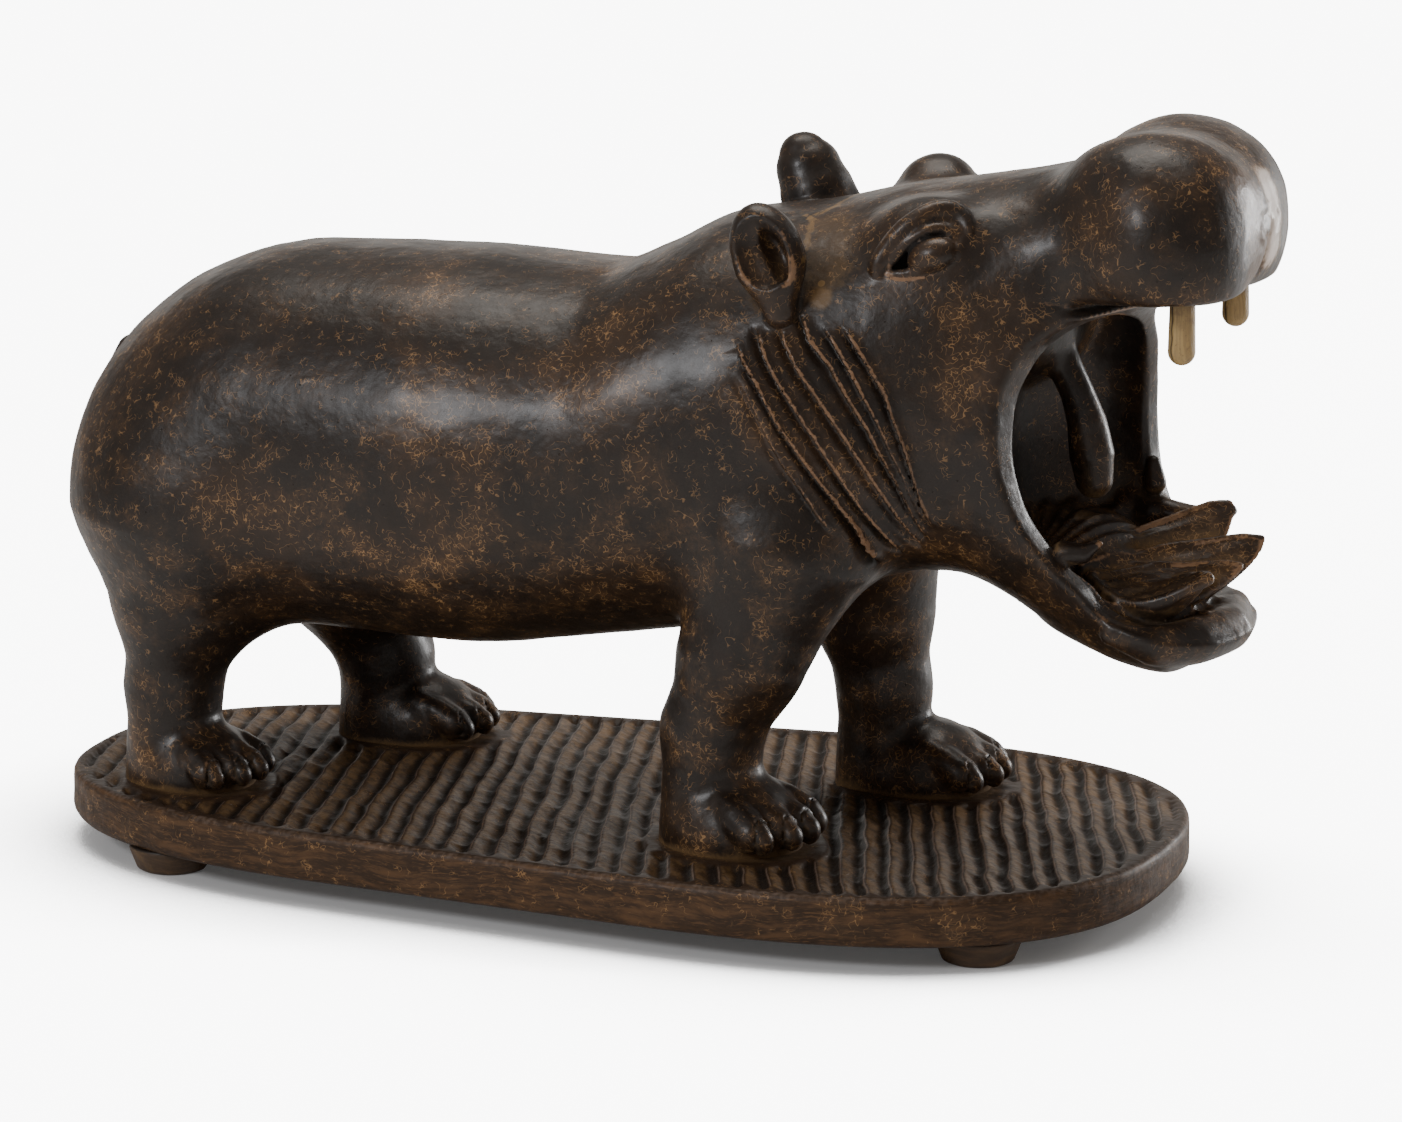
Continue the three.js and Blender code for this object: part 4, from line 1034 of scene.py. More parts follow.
def dark_wood_finish(look):
    """The animal's waxed and rubbed dark wood."""
    wood = Finish("dark_wood", look.patina)
    broad = wood.effect(clouds, Size=60.0, Cover=0.7, Seed=2.0)
    mottled = wood.effect(clouds, Size=19.0, Cover=0.66, Seed=8.0)
    low_down = ramp(split(wood.place)[2], 235.0, 95.0)
    warmth = most(mottled * broad, mottled * 0.45) * (low_down * 0.6 + 0.5)
    wood.paint(broad, look.patina_warm)
    haze = warmth * ramp(noise(wood.place, 0.55, 3.0, 0.7), 0.34, 0.66, 0.25, 1.0)
    wood.paint(haze * 0.95, look.copper_brown)
    amount = warmth * 0.75 + broad * 0.3 + 0.12
    hair = wood.effect(hair_marks, Width=0.4, Amount=amount, Seed=1.0)
    wood.paint(hair * (amount * 0.55 + 0.35), look.copper)
    rubbed = wood.effect(edge_wear, Ridge=wood.attribute("ridge"), Low=0.46, High=0.7)
    wood.paint(rubbed * 0.72, look.rubbed)
    dusty = wood.effect(settled_dust, Hollow=wood.attribute("hollow"), Low=0.5, High=1.0)
    wood.paint(dusty * 0.75, look.dust)
    # Painted shade: the darkest tone laid in narrow grooves and creases, and in deep hollows such as the throat and
    # round the eyes
    wood.paint(wood.attribute("groove") * 0.7, look.deep)
    deep = wood.attribute("deep")
    wood.paint(deep * 0.8, look.deep)
    for start, end, radius, width, ragged, shade, share in WOOD_MARKS:
        spot = wood.effect(mark, Start=place_of(start), End=place_of(end), Radius=radius, Width=width,
                           Ragged=ragged)
        wood.paint(spot * share, getattr(look, shade))
    dull = most(deep, dusty)
    uneven = noise(wood.place, 0.06, 3.0, 0.6) - 0.5
    return wood.done(
        relief=wood.effect(hand_relief, Dents=0.7, Ripple=0.09, Pits=0.35),
        Coat_Weight=(1.0 - dull) * look.wax,
        Coat_Roughness=0.2,
        Specular_IOR_Level=0.42,
        Roughness=maths("ADD", uneven * 0.3 + look.roughness, dull * 0.4, clamp=True),
    )


# Stains and spots, and some painted shade and highlights: from and to, radius, width, raggedness, colour and share
WOOD_MARKS = (
    ((108, -62, 234), (110, -61, 233), 1.5, 0.6, 0.8, "putty", 0.9),
    ((111, -63, 227), (111, -63, 227.1), 0.0, 6.0, 2.5, "dust", 0.7),
    ((106, -34, 250), (112, -58, 238), 0.0, 12.0, 18.0, "dust", 0.28),
    ((80, -10, 249), (93, -25, 251), 0.0, 2.6, 3.0, "putty", 0.8),
    ((93, -25, 251), (101, -17, 255), 0.0, 2.6, 3.0, "putty", 0.8),
    ((101, -17, 255), (104, 6, 257), 0.0, 2.2, 3.0, "putty", 0.7),
    ((80, -10, 249), (93, -25, 251), 2.2, 0.5, 3.0, "deep", 0.7),
    ((93, -25, 251), (104, 6, 257), 2.6, 0.5, 3.0, "deep", 0.6),
    ((95, -27, 251), (98, -42, 245), 0.0, 2.2, 3.5, "putty", 0.7),
    ((98, -42, 245), (106, -70, 243), 0.0, 1.7, 3.5, "putty", 0.55),
    # Painted shadow under the near cheek bone, in the darkest patina
    ((150, -66, 150), (150, -66, 205), 0.0, 14.0, 26.0, "patina", 0.4),
    ((274, -20, 272), (276, -14, 240), 0.0, 14.0, 16.0, "copper_brown", 0.7),
    # The pale strip down the nose front, with a copper border: rubbed bare wood and a painted highlight
    ((273, 4, 271), (275, 8, 246), 0.0, 12.0, 9.0, "copper", 0.6),
    ((273, 4, 271), (275, 8, 246), 0.0, 9.5, 7.0, "worn", 0.95),
    # Grey on the far side of the nose front and on the lower lip: worn wood and a painted sheen
    ((275, 28, 260), (276, 24, 246), 0.0, 6.0, 8.0, "worn_grey", 0.5),
    ((268, -6, 103), (267, 10, 98), 0.0, 12.0, 14.0, "worn_grey", 0.5),
)


def board_finish(look):
    """The plinth's browner wood, with streaks on its side and light on its cut crests."""
    wood = Finish("plinth_wood", look.patina_warm)
    cloudy = wood.effect(clouds, Size=30.0, Cover=0.5, Seed=21.0)
    wood.paint(cloudy, look.board)
    streaks = wood.effect(grain_streaks, Stretch=(0.05, 0.05, 0.32), Low=0.42, High=0.72)
    fine = wood.effect(grain_streaks, Stretch=(0.16, 0.16, 1.3), Low=0.5, High=0.66)
    wood.paint(most(streaks * 0.7, fine * 0.75) * wood.attribute("side_wall"), look.rust)
    wood.paint(wood.effect(hair_marks, Width=0.4, Amount=cloudy, Seed=31.0) * 0.6, look.copper)
    dusty = wood.effect(settled_dust, Hollow=wood.attribute("hollow"), Low=0.2, High=0.8)
    wood.paint(dusty * 0.5, look.dust)
    part = maths("FRACT", wood.attribute("row"))
    cut_in = wood.attribute("cut_in")
    # Painted light and shade across each gouge row: the lit face of each cut gets a brighter ochre grey, and the
    # valley band before the next crest gets painted shade
    face = ramp(part, 0.04, 0.16) * ramp(part, 0.42, 0.62, 1.0, 0.0) * cut_in
    wood.paint(face * ramp(noise(wood.place, 0.16, 3.0, 0.65), 0.36, 0.62, 0.2, 0.75), look.cut_face)
    shade = ramp(part, 0.5, 0.72) * ramp(part, 0.9, 1.0, 1.0, 0.0) * cut_in
    wood.paint(shade * 0.85, look.deep)
    # Painted highlight along the cut crests and the board's edges, with some rubbing
    edge = most(ramp(abs(part - 0.5), 0.42, 0.5) * cut_in, wood.attribute("ridge"))
    wood.paint(wood.effect(edge_wear, Ridge=edge, Low=0.45, High=0.95) * 0.5, look.crest)
    chatter = noise(vectors("MULTIPLY", wood.place, (0.9, 0.25, 0.9)), 1.0, 3.0, 0.6) * (cut_in * 0.35)
    uneven = noise(wood.place, 0.07, 4.0, 0.6) - 0.5
    return wood.done(
        relief=wood.effect(hand_relief, Dents=0.8, Ripple=0.12, Pits=0.3) + chatter,
        Specular_IOR_Level=0.3,
        Roughness=maths("ADD", uneven * 0.3 + (look.roughness + 0.08), dusty * 0.3, clamp=True),
    )


def pad_finish(look):
    """The pads' plain brown wood."""
    wood = Finish("pad_wood", look.board)
    streaks = wood.effect(grain_streaks, Stretch=(0.05, 0.05, 0.5), Low=0.4, High=0.7)
    wood.paint(streaks * 0.8, look.pad)
    wood.paint(wood.effect(clouds, Size=14.0, Cover=0.55, Seed=41.0) * 0.55, look.dust)
    rubbed = wood.effect(edge_wear, Ridge=wood.attribute("ridge"), Low=0.5, High=0.9)
    wood.paint(rubbed * 0.5, look.crest)
    # Painted shadow under the board: the top of each pad darkens to the patina
    wood.paint(wood.effect(settled_dust, Hollow=wood.attribute("hollow"), Low=0.4, High=0.9), look.patina)
    return wood.done(relief=wood.effect(hand_relief, Dents=0.5, Ripple=0.08, Pits=0.2), Roughness=0.52)


def bone_finish(look):
    """The teeth's aged bone, with fine cracks along them."""
    bone = Finish("bone", look.bone)
    streaks = bone.effect(grain_streaks, Stretch=(0.9, 0.9, 0.05), Low=0.46, High=0.62)
    bone.paint(bone.effect(clouds, Size=7.0, Cover=0.5, Seed=51.0), look.bone_stain)
    bone.paint(streaks * 0.45, look.bone_stain)
    bone.paint(ramp(noise(bone.place, 1.1, 3.0, 0.7), 0.62, 0.7) * 0.6, look.patina_warm)
    # Darker along the crack and over the top end, where the peg goes into the jaw
    bone.paint(bone.attribute("hollow"), look.patina)
    return bone.done(relief=streaks * -0.08, Roughness=0.42, Subsurface_Weight=0.08,
                     Subsurface_Radius=(0.003, 0.002, 0.001))


def floor_finish():
    """A pale floor that shines up to the camera's eye, dimmed by ambient occlusion where something stands near: a
    painted contact shadow.
    """
    floor = Finish("floor", (0.9, 0.9, 0.9))
    open_sky = new_node(floor.tree, "ShaderNodeAmbientOcclusion", {"samples": 8}, Distance=0.16).other("AO")
    seen = new_node(floor.tree, "ShaderNodeLightPath")
    return floor.done(Roughness=0.75, Specular_IOR_Level=0.2, Emission_Color=(1, 1, 1, 1),
                      Emission_Strength=ramp(open_sky, 0.45, 1.0, 0.05, 8.5) * seen)


def dress(piece, material):
    piece.data.materials.clear()
    piece.data.materials.append(material)
    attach(piece, "root")
    return piece


# The animal
def hollow_and_ridge(form, points, normals):
    """How sunken, sharp, narrowly grooved and deep inside the surface is at each point, each 0 to 1."""
    def closed(way, *probes):
        """How much of what lies that far along the normals, or against them, is on the other side."""
        total = np.zeros(len(points))
        for reach, weight in probes:
            total += weight * np.clip(1 - way * form(*(points + way * normals * reach).T) / reach, 0, 1)
        return total

    hollow = closed(1, (2, 0.2), (5, 0.3), (10, 0.3), (18, 0.2))
    ridge = closed(-1, (1.6, 0.5), (3.2, 0.5))
    groove = smooth_step(0.16, 0.5, closed(1, (1.4, 0.5), (2.8, 0.5)))
    return hollow, ridge, groove, smooth_step(0.62, 0.95, closed(1, (22, 0.4), (36, 0.6)))


def away_from(points, place):
    return np.sqrt(((points - np.asarray(place)) ** 2).sum(1))


def on_plinth(x, y, z):
    """The animal together with the plinth's top plane."""
    return np.minimum(figure(x, y, z), z)


def make_figure(sizes):
    low, high = FIGURE_BOX
    step = sizes.mesh_step * 1000
    points, quads = net(sampled(figure, low, high, step), low, step)
    kept = points[:, 2] > -SOLE + 0.5
    points[kept] = settle(figure, points[kept])
    piece = thinned(mesh_object("hippo_figure", points, quads), sizes.triangles)
    points = points_of(piece)
    normals, _ = slope_of(figure, points)
    hollow, ridge, groove, deep = hollow_and_ridge(on_plinth, points, normals)
    # Round the eyes the hollows get painted shadow instead of dust
    for eye in EYES:
        near_eye = smooth_step(26, 19, away_from(points, eye.at))
        deep = np.maximum(deep * (1 - near_eye), near_eye * smooth_step(0.3, 0.6, hollow))
        hollow *= 1 - 0.8 * near_eye
        ridge = np.minimum(ridge * (1 + 0.15 * near_eye), 1)
    fade = np.clip((points[:, 2] + 5) / 4, 0, 1) * np.clip(1 - ridge, 0.2, 1)
    lumps = soft_noise(points, 15, 1) * (sizes.lumps * 1000) + soft_noise(points, 5.5, 2) * (sizes.lumps * 400)
    place_points(piece, points + normals * (lumps * fade)[:, None])
    # In the mouth, the painted shade of deep hollows keeps to the throat's near side and its upper part
    throat = np.maximum(smooth_step(16, -4, points[:, 1]), smooth_step(175, 200, points[:, 2]))
    throat *= smooth_step(130, 150, points[:, 2])
    floor = within(*points.T, (165, -52, 84), (285, 60, 142)) & (figure(*(points + (0, 0, 14)).T) > 8)
    floor = floor * smooth_step(0, 0.5, normals[:, 2])
    lobe_end = 0.6 * smooth_step(20, 8, away_from(points, LOBE_OF_THROAT.path[-1]))
    inner_wall = within(*points.T, (150, 4, 130), (235, 46, 225)) * 0.3
    ochre = np.maximum(np.maximum(0.5 * floor * (1 - ridge), lobe_end), inner_wall)
    store(piece, "hollow", np.minimum(hollow + ochre, 1))
    store(piece, "ridge", ridge * (1 - 0.5 * smooth_step(24, 14, points[:, 2])))
    # groove and deep carry painted shade, in narrow creases and in deep hollows
    store(piece, "groove", groove * (1 - 0.75 * floor) * (points[:, 2] > 3))
    store(piece, "deep", deep * np.where(points[:, 0] > 150, throat, 1) * (points[:, 2] > 90))
    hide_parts("hippo_and_plinth")
    return piece


# The plinth's board
def outline_of_board(count):
    angle = 2 * np.pi * np.arange(count) / count
    c, s = np.cos(angle), np.sin(angle)
    power = 2 / PLINTH.fullness
    corner = np.where(c > 0, PLINTH.front_round, PLINTH.rear_round)
    x = np.sign(c) * (PLINTH.half_length - corner + corner * np.abs(c) ** power)
    y = np.sign(s) * np.abs(s) ** power * PLINTH.half_width
    return np.stack((x, y * (1 + PLINTH.taper * x / PLINTH.half_length)), 1)


def evenly_round(outline):
    """The same closed line with its points at equal steps."""
    closed = np.vstack((outline, outline[:1]))
    run = np.concatenate(([0], np.cumsum(np.linalg.norm(np.diff(closed, axis=0), axis=1))))
    at = np.linspace(0, run[-1], len(outline), endpoint=False)
    return np.stack([np.interp(at, run, closed[:, a]) for a in (0, 1)], 1)


def from_feet(points):
    """Distance in millimetres outside the four smooth places round the feet."""
    least = np.full(len(points), 200.0)
    for l in LEGS:
        angle = math.radians(l.turn)
        along, wide = 33 * l.size, 27 * l.size
        u = points[:, 0] - l.ankle[0] - 0.9 * l.ahead * math.cos(angle)
        v = points[:, 1] - l.ankle[1] - 0.9 * l.ahead * math.sin(angle)
        p = (u * math.cos(angle) + v * math.sin(angle)) / along
        q = (v * math.cos(angle) - u * math.sin(angle)) / wide
        least = np.minimum(least, (np.sqrt(p * p + q * q) - 1) * (along + wide) / 2)
    return least


def board_rings():
    """The board's rings from the middle of its underside up its edge and in over its top, and its outline."""
    r = PLINTH.edge_round
    under = -PLINTH.thickness
    levels = [(r, under), (0.45 * r, under + 0.35 * r), (0.1 * r, under + r)]
    levels += [(0, under + t * (PLINTH.thickness - 2 * r) + r) for t in np.linspace(0.12, 0.9, 7)]
    levels += [(0.06 * r, -0.75 * r), (0.3 * r, -0.3 * r), (0.65 * r, -0.08 * r)]
    outer = evenly_round(outline_of_board(BOARD.around))
    tangent = np.roll(outer, -1, 0) - np.roll(outer, 1, 0)
    inward = np.stack((-tangent[:, 1], tangent[:, 0]), 1) / np.linalg.norm(tangent, axis=1)[:, None]
    level = np.ones((len(outer), 1))
    rings = [np.hstack((outer + inward * inset, level * z)) for inset, z in levels]
    edge = outer + inward * r
    spine = edge * (BOARD.spine, 0)
    for i in range(BOARD.inward + 1):
        rings.append(np.hstack((edge + (spine - edge) * (i / BOARD.inward), level * 0)))
    bottom = np.hstack((rings[0][:, :2] * BOARD.underside, level * under))
    return [bottom, *rings], outer


def make_board(sizes, look):
    r = PLINTH.edge_round
    under = -PLINTH.thickness
    rings, outer = board_rings()
    piece = mesh_object("plinth_board", *ring_mesh(rings, capped=False))
    piece.modifiers.new("Join", "WELD").merge_threshold = BOARD.weld
    applied(piece)
    piece.data.shade_smooth()
    points = points_of(piece)
    z = points[:, 2]
    flat = z > -0.001
    rim = np.zeros(len(points))
    for start in range(0, len(points), 4000):
        part = points[start:start + 4000, None, :2] - outer[None, ::4]
        rim[start:start + 4000] = np.sqrt((part ** 2).sum(2).min(1))
    side = (z < -0.3 * r) & (z > under + 0.3 * r)
    outward = np.column_stack((points[:, :2] * (0.25, 1), np.zeros(len(points))))
    outward /= np.maximum(np.linalg.norm(outward, axis=1), 1)[:, None]
    dents = soft_noise(points * (0.35, 0.35, 1), 6, 5) * 0.25 - 0.35
    points += outward * (dents * (z < -0.01) * (z > under + 0.01))[:, None]
    place_points(piece, points)
    foot = from_feet(points)
    top_edge = np.clip(1 - np.abs(rim - 2.2) / 3.0, 0, 1) * (z > -3.2)
    low_edge = np.clip(1 - np.abs(z - under - 1) / 3, 0, 1) * (z > under + 0.1)
    measures = {
        "rim_mm": np.where(flat, rim, 0),
        "foot_mm": foot,
        "side_wall": side,
        "edge": np.maximum(top_edge * 0.75, low_edge * 0.45),
        "near_foot": np.clip(1 - (foot + 3) / 9, 0, 1) * flat * 0.9,
    }
    for name, values in measures.items():
        store(piece, name, values)
    numbers = {"Pitch": sizes.row_pitch * 1000, "Cell": sizes.row_cell * 1000, "Depth": sizes.row_depth * 1000,
               **GOUGES}
    modifier = piece.modifiers.new("Gouge rows", "NODES")
    modifier.node_group = gouge_tree(numbers)
    numbers["Material"] = board_finish(look)
    for item in modifier.node_group.interface.items_tree:
        if item.in_out == "INPUT" and item.name in numbers:
            modifier[item.identifier] = numbers[item.name]
    applied(piece)
    piece.data.shade_smooth()
    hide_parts("hippo_and_plinth")
    return piece


def gouge_tree(numbers):
    """Rows of gouge cuts across a board: every row a line of scoops between sharp crests."""
    tree = bpy.data.node_groups.new("gouge_rows", "GeometryNodeTree")
    tree.is_modifier = True
    add_socket(tree, "Geometry", "INPUT", "Geometry")
    for name, value in numbers.items():
        add_socket(tree, name, "INPUT", "Float", value)
    add_socket(tree, "Material", "INPUT", "Material")
    add_socket(tree, "Geometry", "OUTPUT", "Geometry")
    given = {item.name: Wire(item) for item in tree.nodes.new("NodeGroupInput").outputs}
    seed = given["Seed"]

    def named(name):
        return new_node(tree, "GeometryNodeInputNamedAttribute", {"data_type": "FLOAT"}, Name=name)

    def chance(kind, **values):
        return new_node(tree, "ShaderNodeTexWhiteNoise", {"noise_dimensions": kind}, **values)

    def scoop(value):
        """Nought at both ends and one in the middle."""
        centred = maths("MULTIPLY_ADD", value, 2.0, -1.0)
        return 1.0 - centred * centred

    def clear_of(away, margin, slope):
        return ramp(away, margin, margin + slope)

    place = vectors("SCALE", new_node(tree, "GeometryNodeInputPosition"), scale=1000.0)
    x, y, z = split(place)
    slant = maths("MULTIPLY_ADD", given["Slant Front"] - given["Slant Rear"], ramp(x, -240.0, 200.0),
                  given["Slant Rear"])
    wander = noise(place, 0.028, 2.0, 0.5, seed=seed) - 0.5
    s = maths("MULTIPLY_ADD", slant, y, x) / given["Pitch"] + wander * (given["Waviness"] * 10.0)
    row = maths("FLOOR", s)
    bend = noise(place, 0.06, 1.0, 0.5, seed=seed) - 0.5
    t = y / given["Cell"] + chance("1D", W=row + seed) * 7.0 + bend * 1.4
    pair = new_node(tree, "ShaderNodeCombineXYZ", X=row, Y=maths("FLOOR", t), Z=seed)
    deep = maths("MULTIPLY_ADD", chance("3D", Vector=pair), 0.4, 0.75)
    across = scoop(maths("POWER", maths("FRACT", s), 2.1))
    along = maths("MULTIPLY_ADD", scoop(maths("FRACT", t)), 0.42, 0.58)
    rounding = (1.0 - across) * 4.5
    cut_in = clear_of(named("rim_mm") - rounding, given["Margin"], 3.2)
    cut_in = cut_in * clear_of(named("foot_mm") - rounding * 0.6, given["Foot Margin"], 2.6)
    cut_in = cut_in * maths("GREATER_THAN", z, 25.0)
    scooped = across * along * cut_in
    low = most(scooped * maths("MULTIPLY_ADD", deep, 0.5, 0.1), named("near_foot"))
    ridge = most(named("edge"), (1.0 - along) * cut_in)
    geometry = given["Geometry"]
    for name, value in {"hollow": low, "ridge": ridge, "row": s, "cut_in": cut_in}.items():
        geometry = new_node(tree, "GeometryNodeStoreNamedAttribute", {"data_type": "FLOAT", "domain": "POINT"},
                            Geometry=geometry, Name=name, Value=value)
    down = new_node(tree, "ShaderNodeCombineXYZ", Z=scooped * deep * given["Depth"] * -0.001)
    geometry = new_node(tree, "GeometryNodeSetPosition", Geometry=geometry, Offset=down)
    geometry = new_node(tree, "GeometryNodeRealizeInstances", Geometry=geometry)
    geometry = new_node(tree, "GeometryNodeSetMaterial", Geometry=geometry, Material=given["Material"])
    feed(tree.nodes.new("NodeGroupOutput").inputs[0], geometry)
    return tree


# Pads and teeth
def lathe(profile, centre, count, wobble):
    """Rings of a turned form: profile of (radius, z), centre (x, y), and a change of radius by angle and z."""
    angle = 2 * np.pi * np.arange(count) / count
    rings = []
    for radius, z in profile:
        r = radius + wobble(angle, z)
        rings.append(np.stack((centre[0] + r * np.cos(angle), centre[1] + r * np.sin(angle), 0 * angle + z), 1))
    return rings


def round_a_post(angle, z, radius, squeeze):
    """Places for a noise that closes on itself round a turned form."""
    return np.stack((np.cos(angle) * radius, np.sin(angle) * radius, 0 * angle + z * squeeze), 1)


def make_pad(name, material):
    low, high = (np.array(corner) * 1000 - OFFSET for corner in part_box(name))
    centre = (low + high)[:2] / 2
    radius = (high - low)[0] / 2
    foot = radius * 15 / 18
    z0, z1 = low[2], high[2]
    seed = float(len(name)) + centre[0] * 0.01

    def wobble(angle, z):
        return soft_noise(round_a_post(angle, z, 16, 0.5) + seed, 6, 4) * 0.3 - 0.32

    profile = [(foot * 0.5, z0), (foot - 2, z0), (foot - 1.2, z0 + 0.15), (foot - 0.5, z0 + 0.5), (foot, z0 + 1.2)]
    profile += [(foot + (radius - 0.5 - foot) * t, z0 + 1.2 + (z1 - 3 - z0 - 1.2) * t) for t in (0.25, 0.5, 0.75)]
    profile += [(radius - 0.5, z1 - 3), (radius, z1 - 1.6), (radius, z1 - 0.5), (radius - 0.6, z1),
                (radius * 0.5, z1)]
    points, faces = ring_mesh(lathe(profile, centre, 96, wobble))
    piece = mesh_object(name + "_turned", points, faces)
    height = (points[:, 2] - z0) / (z1 - z0)
    # The top fifth of each pad is the mask for its painted shadow under the board
    store(piece, "hollow", np.clip((height - 0.8) / 0.2, 0, 1))
    store(piece, "ridge", np.clip(1 - np.abs(height - 0.08) / 0.1, 0, 1) * 0.7)
    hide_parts(name)
    return dress(piece, material)


def crack(angle, z, width):
    """Depth, 0 to 1, of the crack down a tooth."""
    return np.exp(-((angle - 4.1 - 0.05 * np.sin(z * 0.8)) / width) ** 2)


def make_tooth(name, place, material):
    x, y, z0, z1 = place
    r = TOOTH.radius

    def wobble(angle, z):
        return -0.38 * crack(angle, z, 0.07) + soft_noise(round_a_post(angle, z, 5, 0.3), 4, 7) * 0.1 - 0.1

    profile = [(r * math.sin(t), z0 + r * (1 - math.cos(t))) for t in np.linspace(0.12, math.pi / 2, 9)]
    profile += [(r + (0.92 * r - r) * t, z0 + r + (z1 - z0 - r) * t) for t in np.linspace(0.05, 1, 16)]
    points, faces = ring_mesh(lathe(profile, (x, y), 72, wobble))
    piece = mesh_object(name + "_peg", points, faces)
    angle = np.arctan2(points[:, 1] - y, points[:, 0] - x) % (2 * math.pi)
    top = np.clip((points[:, 2] - (z1 - 6)) / 6, 0, 1)
    store(piece, "hollow", np.clip(crack(angle, points[:, 2], 0.09) + 0.6 * top, 0, 1))
    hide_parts(name)
    return dress(piece, material)


# Floor, light and camera
FLOOR_REACH = 6000
LIT_PLACE = (0, 0, 0.14)
# Each lamp's direction, distance and size in metres, power in watts and colour
LIGHTS = {
    "flank_light": ((-0.36, -0.80, 0.48), 2.2, (0.5, 0.5), 16, (0.95, 0.97, 1)),
    "nose_light": ((0.6, 0.8, 0.08), 1.9, (0.25, 0.8), 18, (1, 1, 1)),
    "top_light": ((-0.1, 0.25, 1.0), 2.2, (1.6, 1.0), 26, (1, 0.95, 0.88)),
    "back_light": ((-0.3, 0.93, 0.22), 3.0, (4.0, 1.1), 13, (1, 0.96, 0.9)),
}
# The photo's view: degrees from a side view and upwards, metres away, and where it looks in the carving's frame
VIEW = Form(turn=20.5, lift=13, distance=2.601, centre=(36.86, 0, 100.895), sensor=36, lens=161.97, reach=20)


def placed(name, data, direction, distance, centre):
    """A lamp or camera that looks from a direction at a centre."""
    made = bpy.data.objects.new(name, data)
    towards = Vector(direction).normalized()
    made.location = Vector(centre) + towards * distance
    made.rotation_euler = towards.to_track_quat("Z", "Y").to_euler()
    bpy.context.scene.collection.objects.link(made)
    return made


def softbox(name, direction, distance, size, power, shade):
    """A rectangle of light."""
    light = bpy.data.lights.new(name, "AREA")
    light.shape = "RECTANGLE"
    light.size, light.size_y = size
    light.energy = power
    light.color = shade
    placed(name, light, direction, distance, LIT_PLACE)


def make_floor():
    corners = np.array(((-1, -1, 0), (1, -1, 0), (1, 1, 0), (-1, 1, 0))) * FLOOR_REACH
    floor = mesh_object("floor", corners - OFFSET, np.array(((0, 1, 2, 3),)))
    floor.data.materials.append(floor_finish())


def make_camera():
    turn, lift = math.radians(VIEW.turn), math.radians(VIEW.lift)
    back = (math.sin(turn) * math.cos(lift), -math.cos(turn) * math.cos(lift), math.sin(lift))
    camera = bpy.data.cameras.new("camera")
    camera.sensor_width = VIEW.sensor
    camera.lens = VIEW.lens
    camera.clip_end = VIEW.reach
    bpy.context.scene.camera = placed("camera", camera, back, VIEW.distance, to_row(VIEW.centre))


def light_world(look):
    world = bpy.data.worlds.new("studio")
    bpy.context.scene.world = world
    world.use_nodes = True
    back = next(n for n in world.node_tree.nodes if n.type == "BACKGROUND")
    back.inputs["Color"].default_value = (1.0, 0.95, 0.9, 1)
    back.inputs["Strength"].default_value = look.world


# Sizes and colours
def tone(name, about, value):
    return bpy.props.FloatVectorProperty(name=name, description=about, default=value, size=3,
                                         subtype="COLOR", min=0, max=1)


def length(name, about, value):
    return bpy.props.FloatProperty(name=name, description=about, default=value, unit="LENGTH", precision=5)


def share(name, about, value):
    return bpy.props.FloatProperty(name=name, description=about, default=value)


class CARVING_PG_sizes(bpy.types.PropertyGroup):
    """Sizes of the carving's fine work."""
    mesh_step: length("Mesh step", "Spacing of the animal's mesh", 0.0012)
    triangles: bpy.props.IntProperty(name="Triangles", description="Most triangles in the animal", default=196000)
    lumps: length("Lumps", "Height of the unevenness left by hand carving", 0.00035)
    row_pitch: length("Row pitch", "Distance between the plinth's gouge rows", 0.01)
    row_cell: length("Scoop length", "Length of one scoop along a gouge row", 0.021)
    row_depth: length("Row depth", "Depth of the gouge rows", 0.003)


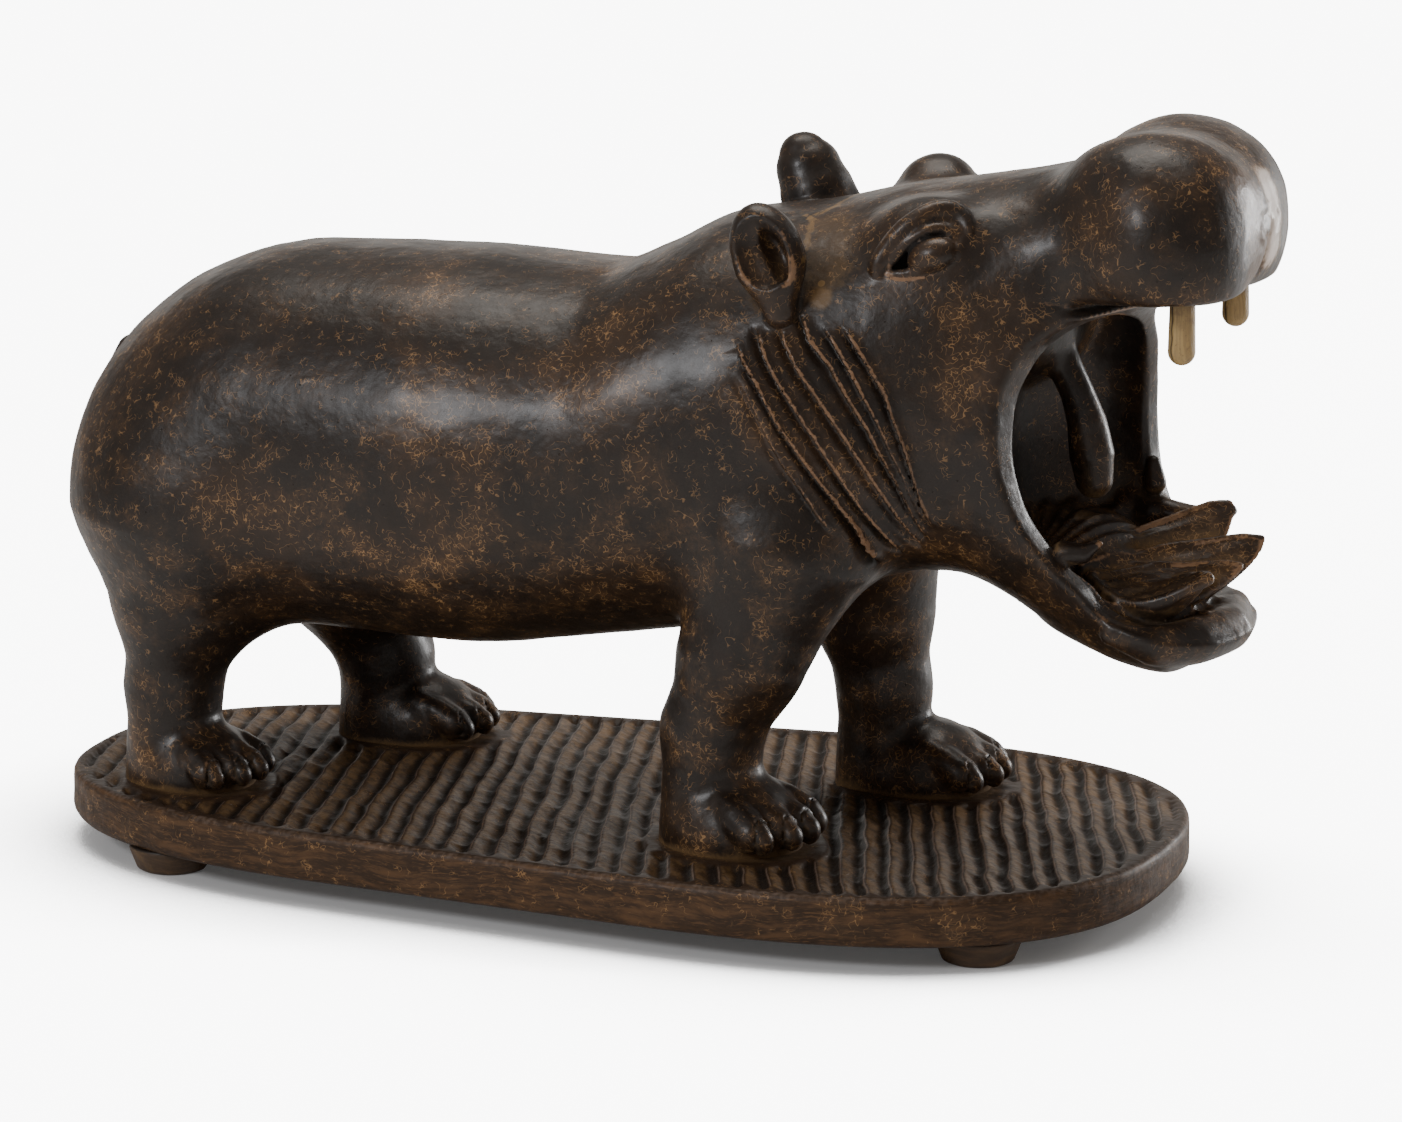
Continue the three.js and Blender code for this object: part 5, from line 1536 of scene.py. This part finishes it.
class CARVING_PG_look(bpy.types.PropertyGroup):
    """Colours and gloss of the finishes, and the studio's light."""
    patina: tone("Patina", "Darkest wood", (0.019, 0.0115, 0.0075))
    patina_warm: tone("Warm patina", "Warmer dark wood", (0.044, 0.023, 0.0115))
    # The dark of the painted shade in grooves, deep hollows and the plinth's row valleys, and of dark cracks
    deep: tone("Deep hollows", "Painted shade in hollows and grooves, and dark cracks", (0.008, 0.006, 0.005))
    copper_brown: tone("Copper brown", "Cloudy worn-through places", (0.15, 0.076, 0.031))
    copper: tone("Copper", "Fine hair-like marks", (0.45, 0.245, 0.10))
    rubbed: tone("Rubbed edge", "Edges rubbed to a coppery brown", (0.38, 0.205, 0.105))
    dust: tone("Dust", "Ochre dust in hollows", (0.20, 0.115, 0.045))
    board: tone("Board", "Browner wood of the plinth", (0.07, 0.04, 0.021))
    rust: tone("Rust streaks", "Streaks along the plinth's side", (0.17, 0.085, 0.036))
    # Also painted light on the lit faces of the gouge cuts
    cut_face: tone("Cut faces", "Ochre grey of the gouge cuts, with painted light on their lit faces", (0.225, 0.13, 0.056))
    crest: tone("Crests", "Greyish pink light on cut crests", (0.27, 0.19, 0.145))
    pad: tone("Pads", "Brown wood of the pads", (0.14, 0.075, 0.035))
    bone: tone("Bone", "Aged bone", (0.55, 0.37, 0.16))
    bone_stain: tone("Bone stain", "Stain in the bone", (0.33, 0.21, 0.10))
    putty: tone("Putty", "Golden filler round the far ear", (0.26, 0.15, 0.055))
    # Also a painted highlight on the nose front
    worn: tone("Worn through", "Pale rubbed wood with a painted highlight on the nose", (0.95, 0.82, 0.73))
    # Also a painted sheen on the nose's far side and the lower lip
    worn_grey: tone("Worn grey", "Greyish worn wood with a painted sheen", (0.27, 0.24, 0.22))
    roughness: share("Roughness", "Roughness of the rubbed wood", 0.42)
    wax: share("Wax", "Share of the polished wax over the wood", 0.14)
    world: share("Ambient light", "Strength of the light all round", 0.24)


# Operators
class CARVING_OT_figure(bpy.types.Operator):
    """Make the animal"""
    bl_idname = "carving.figure"
    bl_label = "Animal"

    def execute(self, context):
        piece = make_figure(context.scene.carving_sizes)
        dress(piece, dark_wood_finish(context.scene.carving_look))
        return {"FINISHED"}


class CARVING_OT_board(bpy.types.Operator):
    """Make the plinth's board with its gouge rows"""
    bl_idname = "carving.board"
    bl_label = "Board"

    def execute(self, context):
        piece = make_board(context.scene.carving_sizes, context.scene.carving_look)
        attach(piece, "root")
        return {"FINISHED"}


class CARVING_OT_pads(bpy.types.Operator):
    """Make the four pads under the plinth"""
    bl_idname = "carving.pads"
    bl_label = "Pads"

    def execute(self, context):
        material = pad_finish(context.scene.carving_look)
        for name in PAD_NAMES:
            make_pad(name, material)
        return {"FINISHED"}


class CARVING_OT_teeth(bpy.types.Operator):
    """Make the two peg teeth"""
    bl_idname = "carving.teeth"
    bl_label = "Teeth"

    def execute(self, context):
        material = bone_finish(context.scene.carving_look)
        make_tooth("tooth_near", TOOTH.near, material)
        make_tooth("tooth_far", TOOTH.far, material)
        return {"FINISHED"}


class CARVING_OT_stage(bpy.types.Operator):
    """Make the floor, the light and the camera"""
    bl_idname = "carving.stage"
    bl_label = "Stage"

    def execute(self, context):
        make_floor()
        light_world(context.scene.carving_look)
        for name, light in LIGHTS.items():
            softbox(name, *light)
        make_camera()
        return {"FINISHED"}


class CARVING_PT_panel(bpy.types.Panel):
    """Sizes, colours and pieces of the carving"""
    bl_idname = "CARVING_PT_panel"
    bl_label = "Carving"
    bl_space_type = "VIEW_3D"
    bl_region_type = "UI"
    bl_category = "Carving"

    def draw(self, context):
        for group in (context.scene.carving_sizes, context.scene.carving_look):
            box = self.layout.box()
            for name in type(group).__annotations__:
                box.prop(group, name)
        for operator in OPERATORS:
            self.layout.operator(operator.bl_idname)


OPERATORS = (CARVING_OT_figure, CARVING_OT_board, CARVING_OT_pads, CARVING_OT_teeth, CARVING_OT_stage)
CLASSES = (CARVING_PG_sizes, CARVING_PG_look, *OPERATORS, CARVING_PT_panel)


def register():
    for kind in CLASSES:
        bpy.utils.register_class(kind)
    bpy.types.Scene.carving_sizes = bpy.props.PointerProperty(type=CARVING_PG_sizes)
    bpy.types.Scene.carving_look = bpy.props.PointerProperty(type=CARVING_PG_look)


def unregister():
    del bpy.types.Scene.carving_look
    del bpy.types.Scene.carving_sizes
    for kind in reversed(CLASSES):
        bpy.utils.unregister_class(kind)


def main():
    register()
    bpy.ops.carving.figure()
    bpy.ops.carving.board()
    bpy.ops.carving.pads()
    bpy.ops.carving.teeth()
    bpy.ops.carving.stage()
    bpy.context.view_layer.update()


if __name__ == "__main__":
    main()
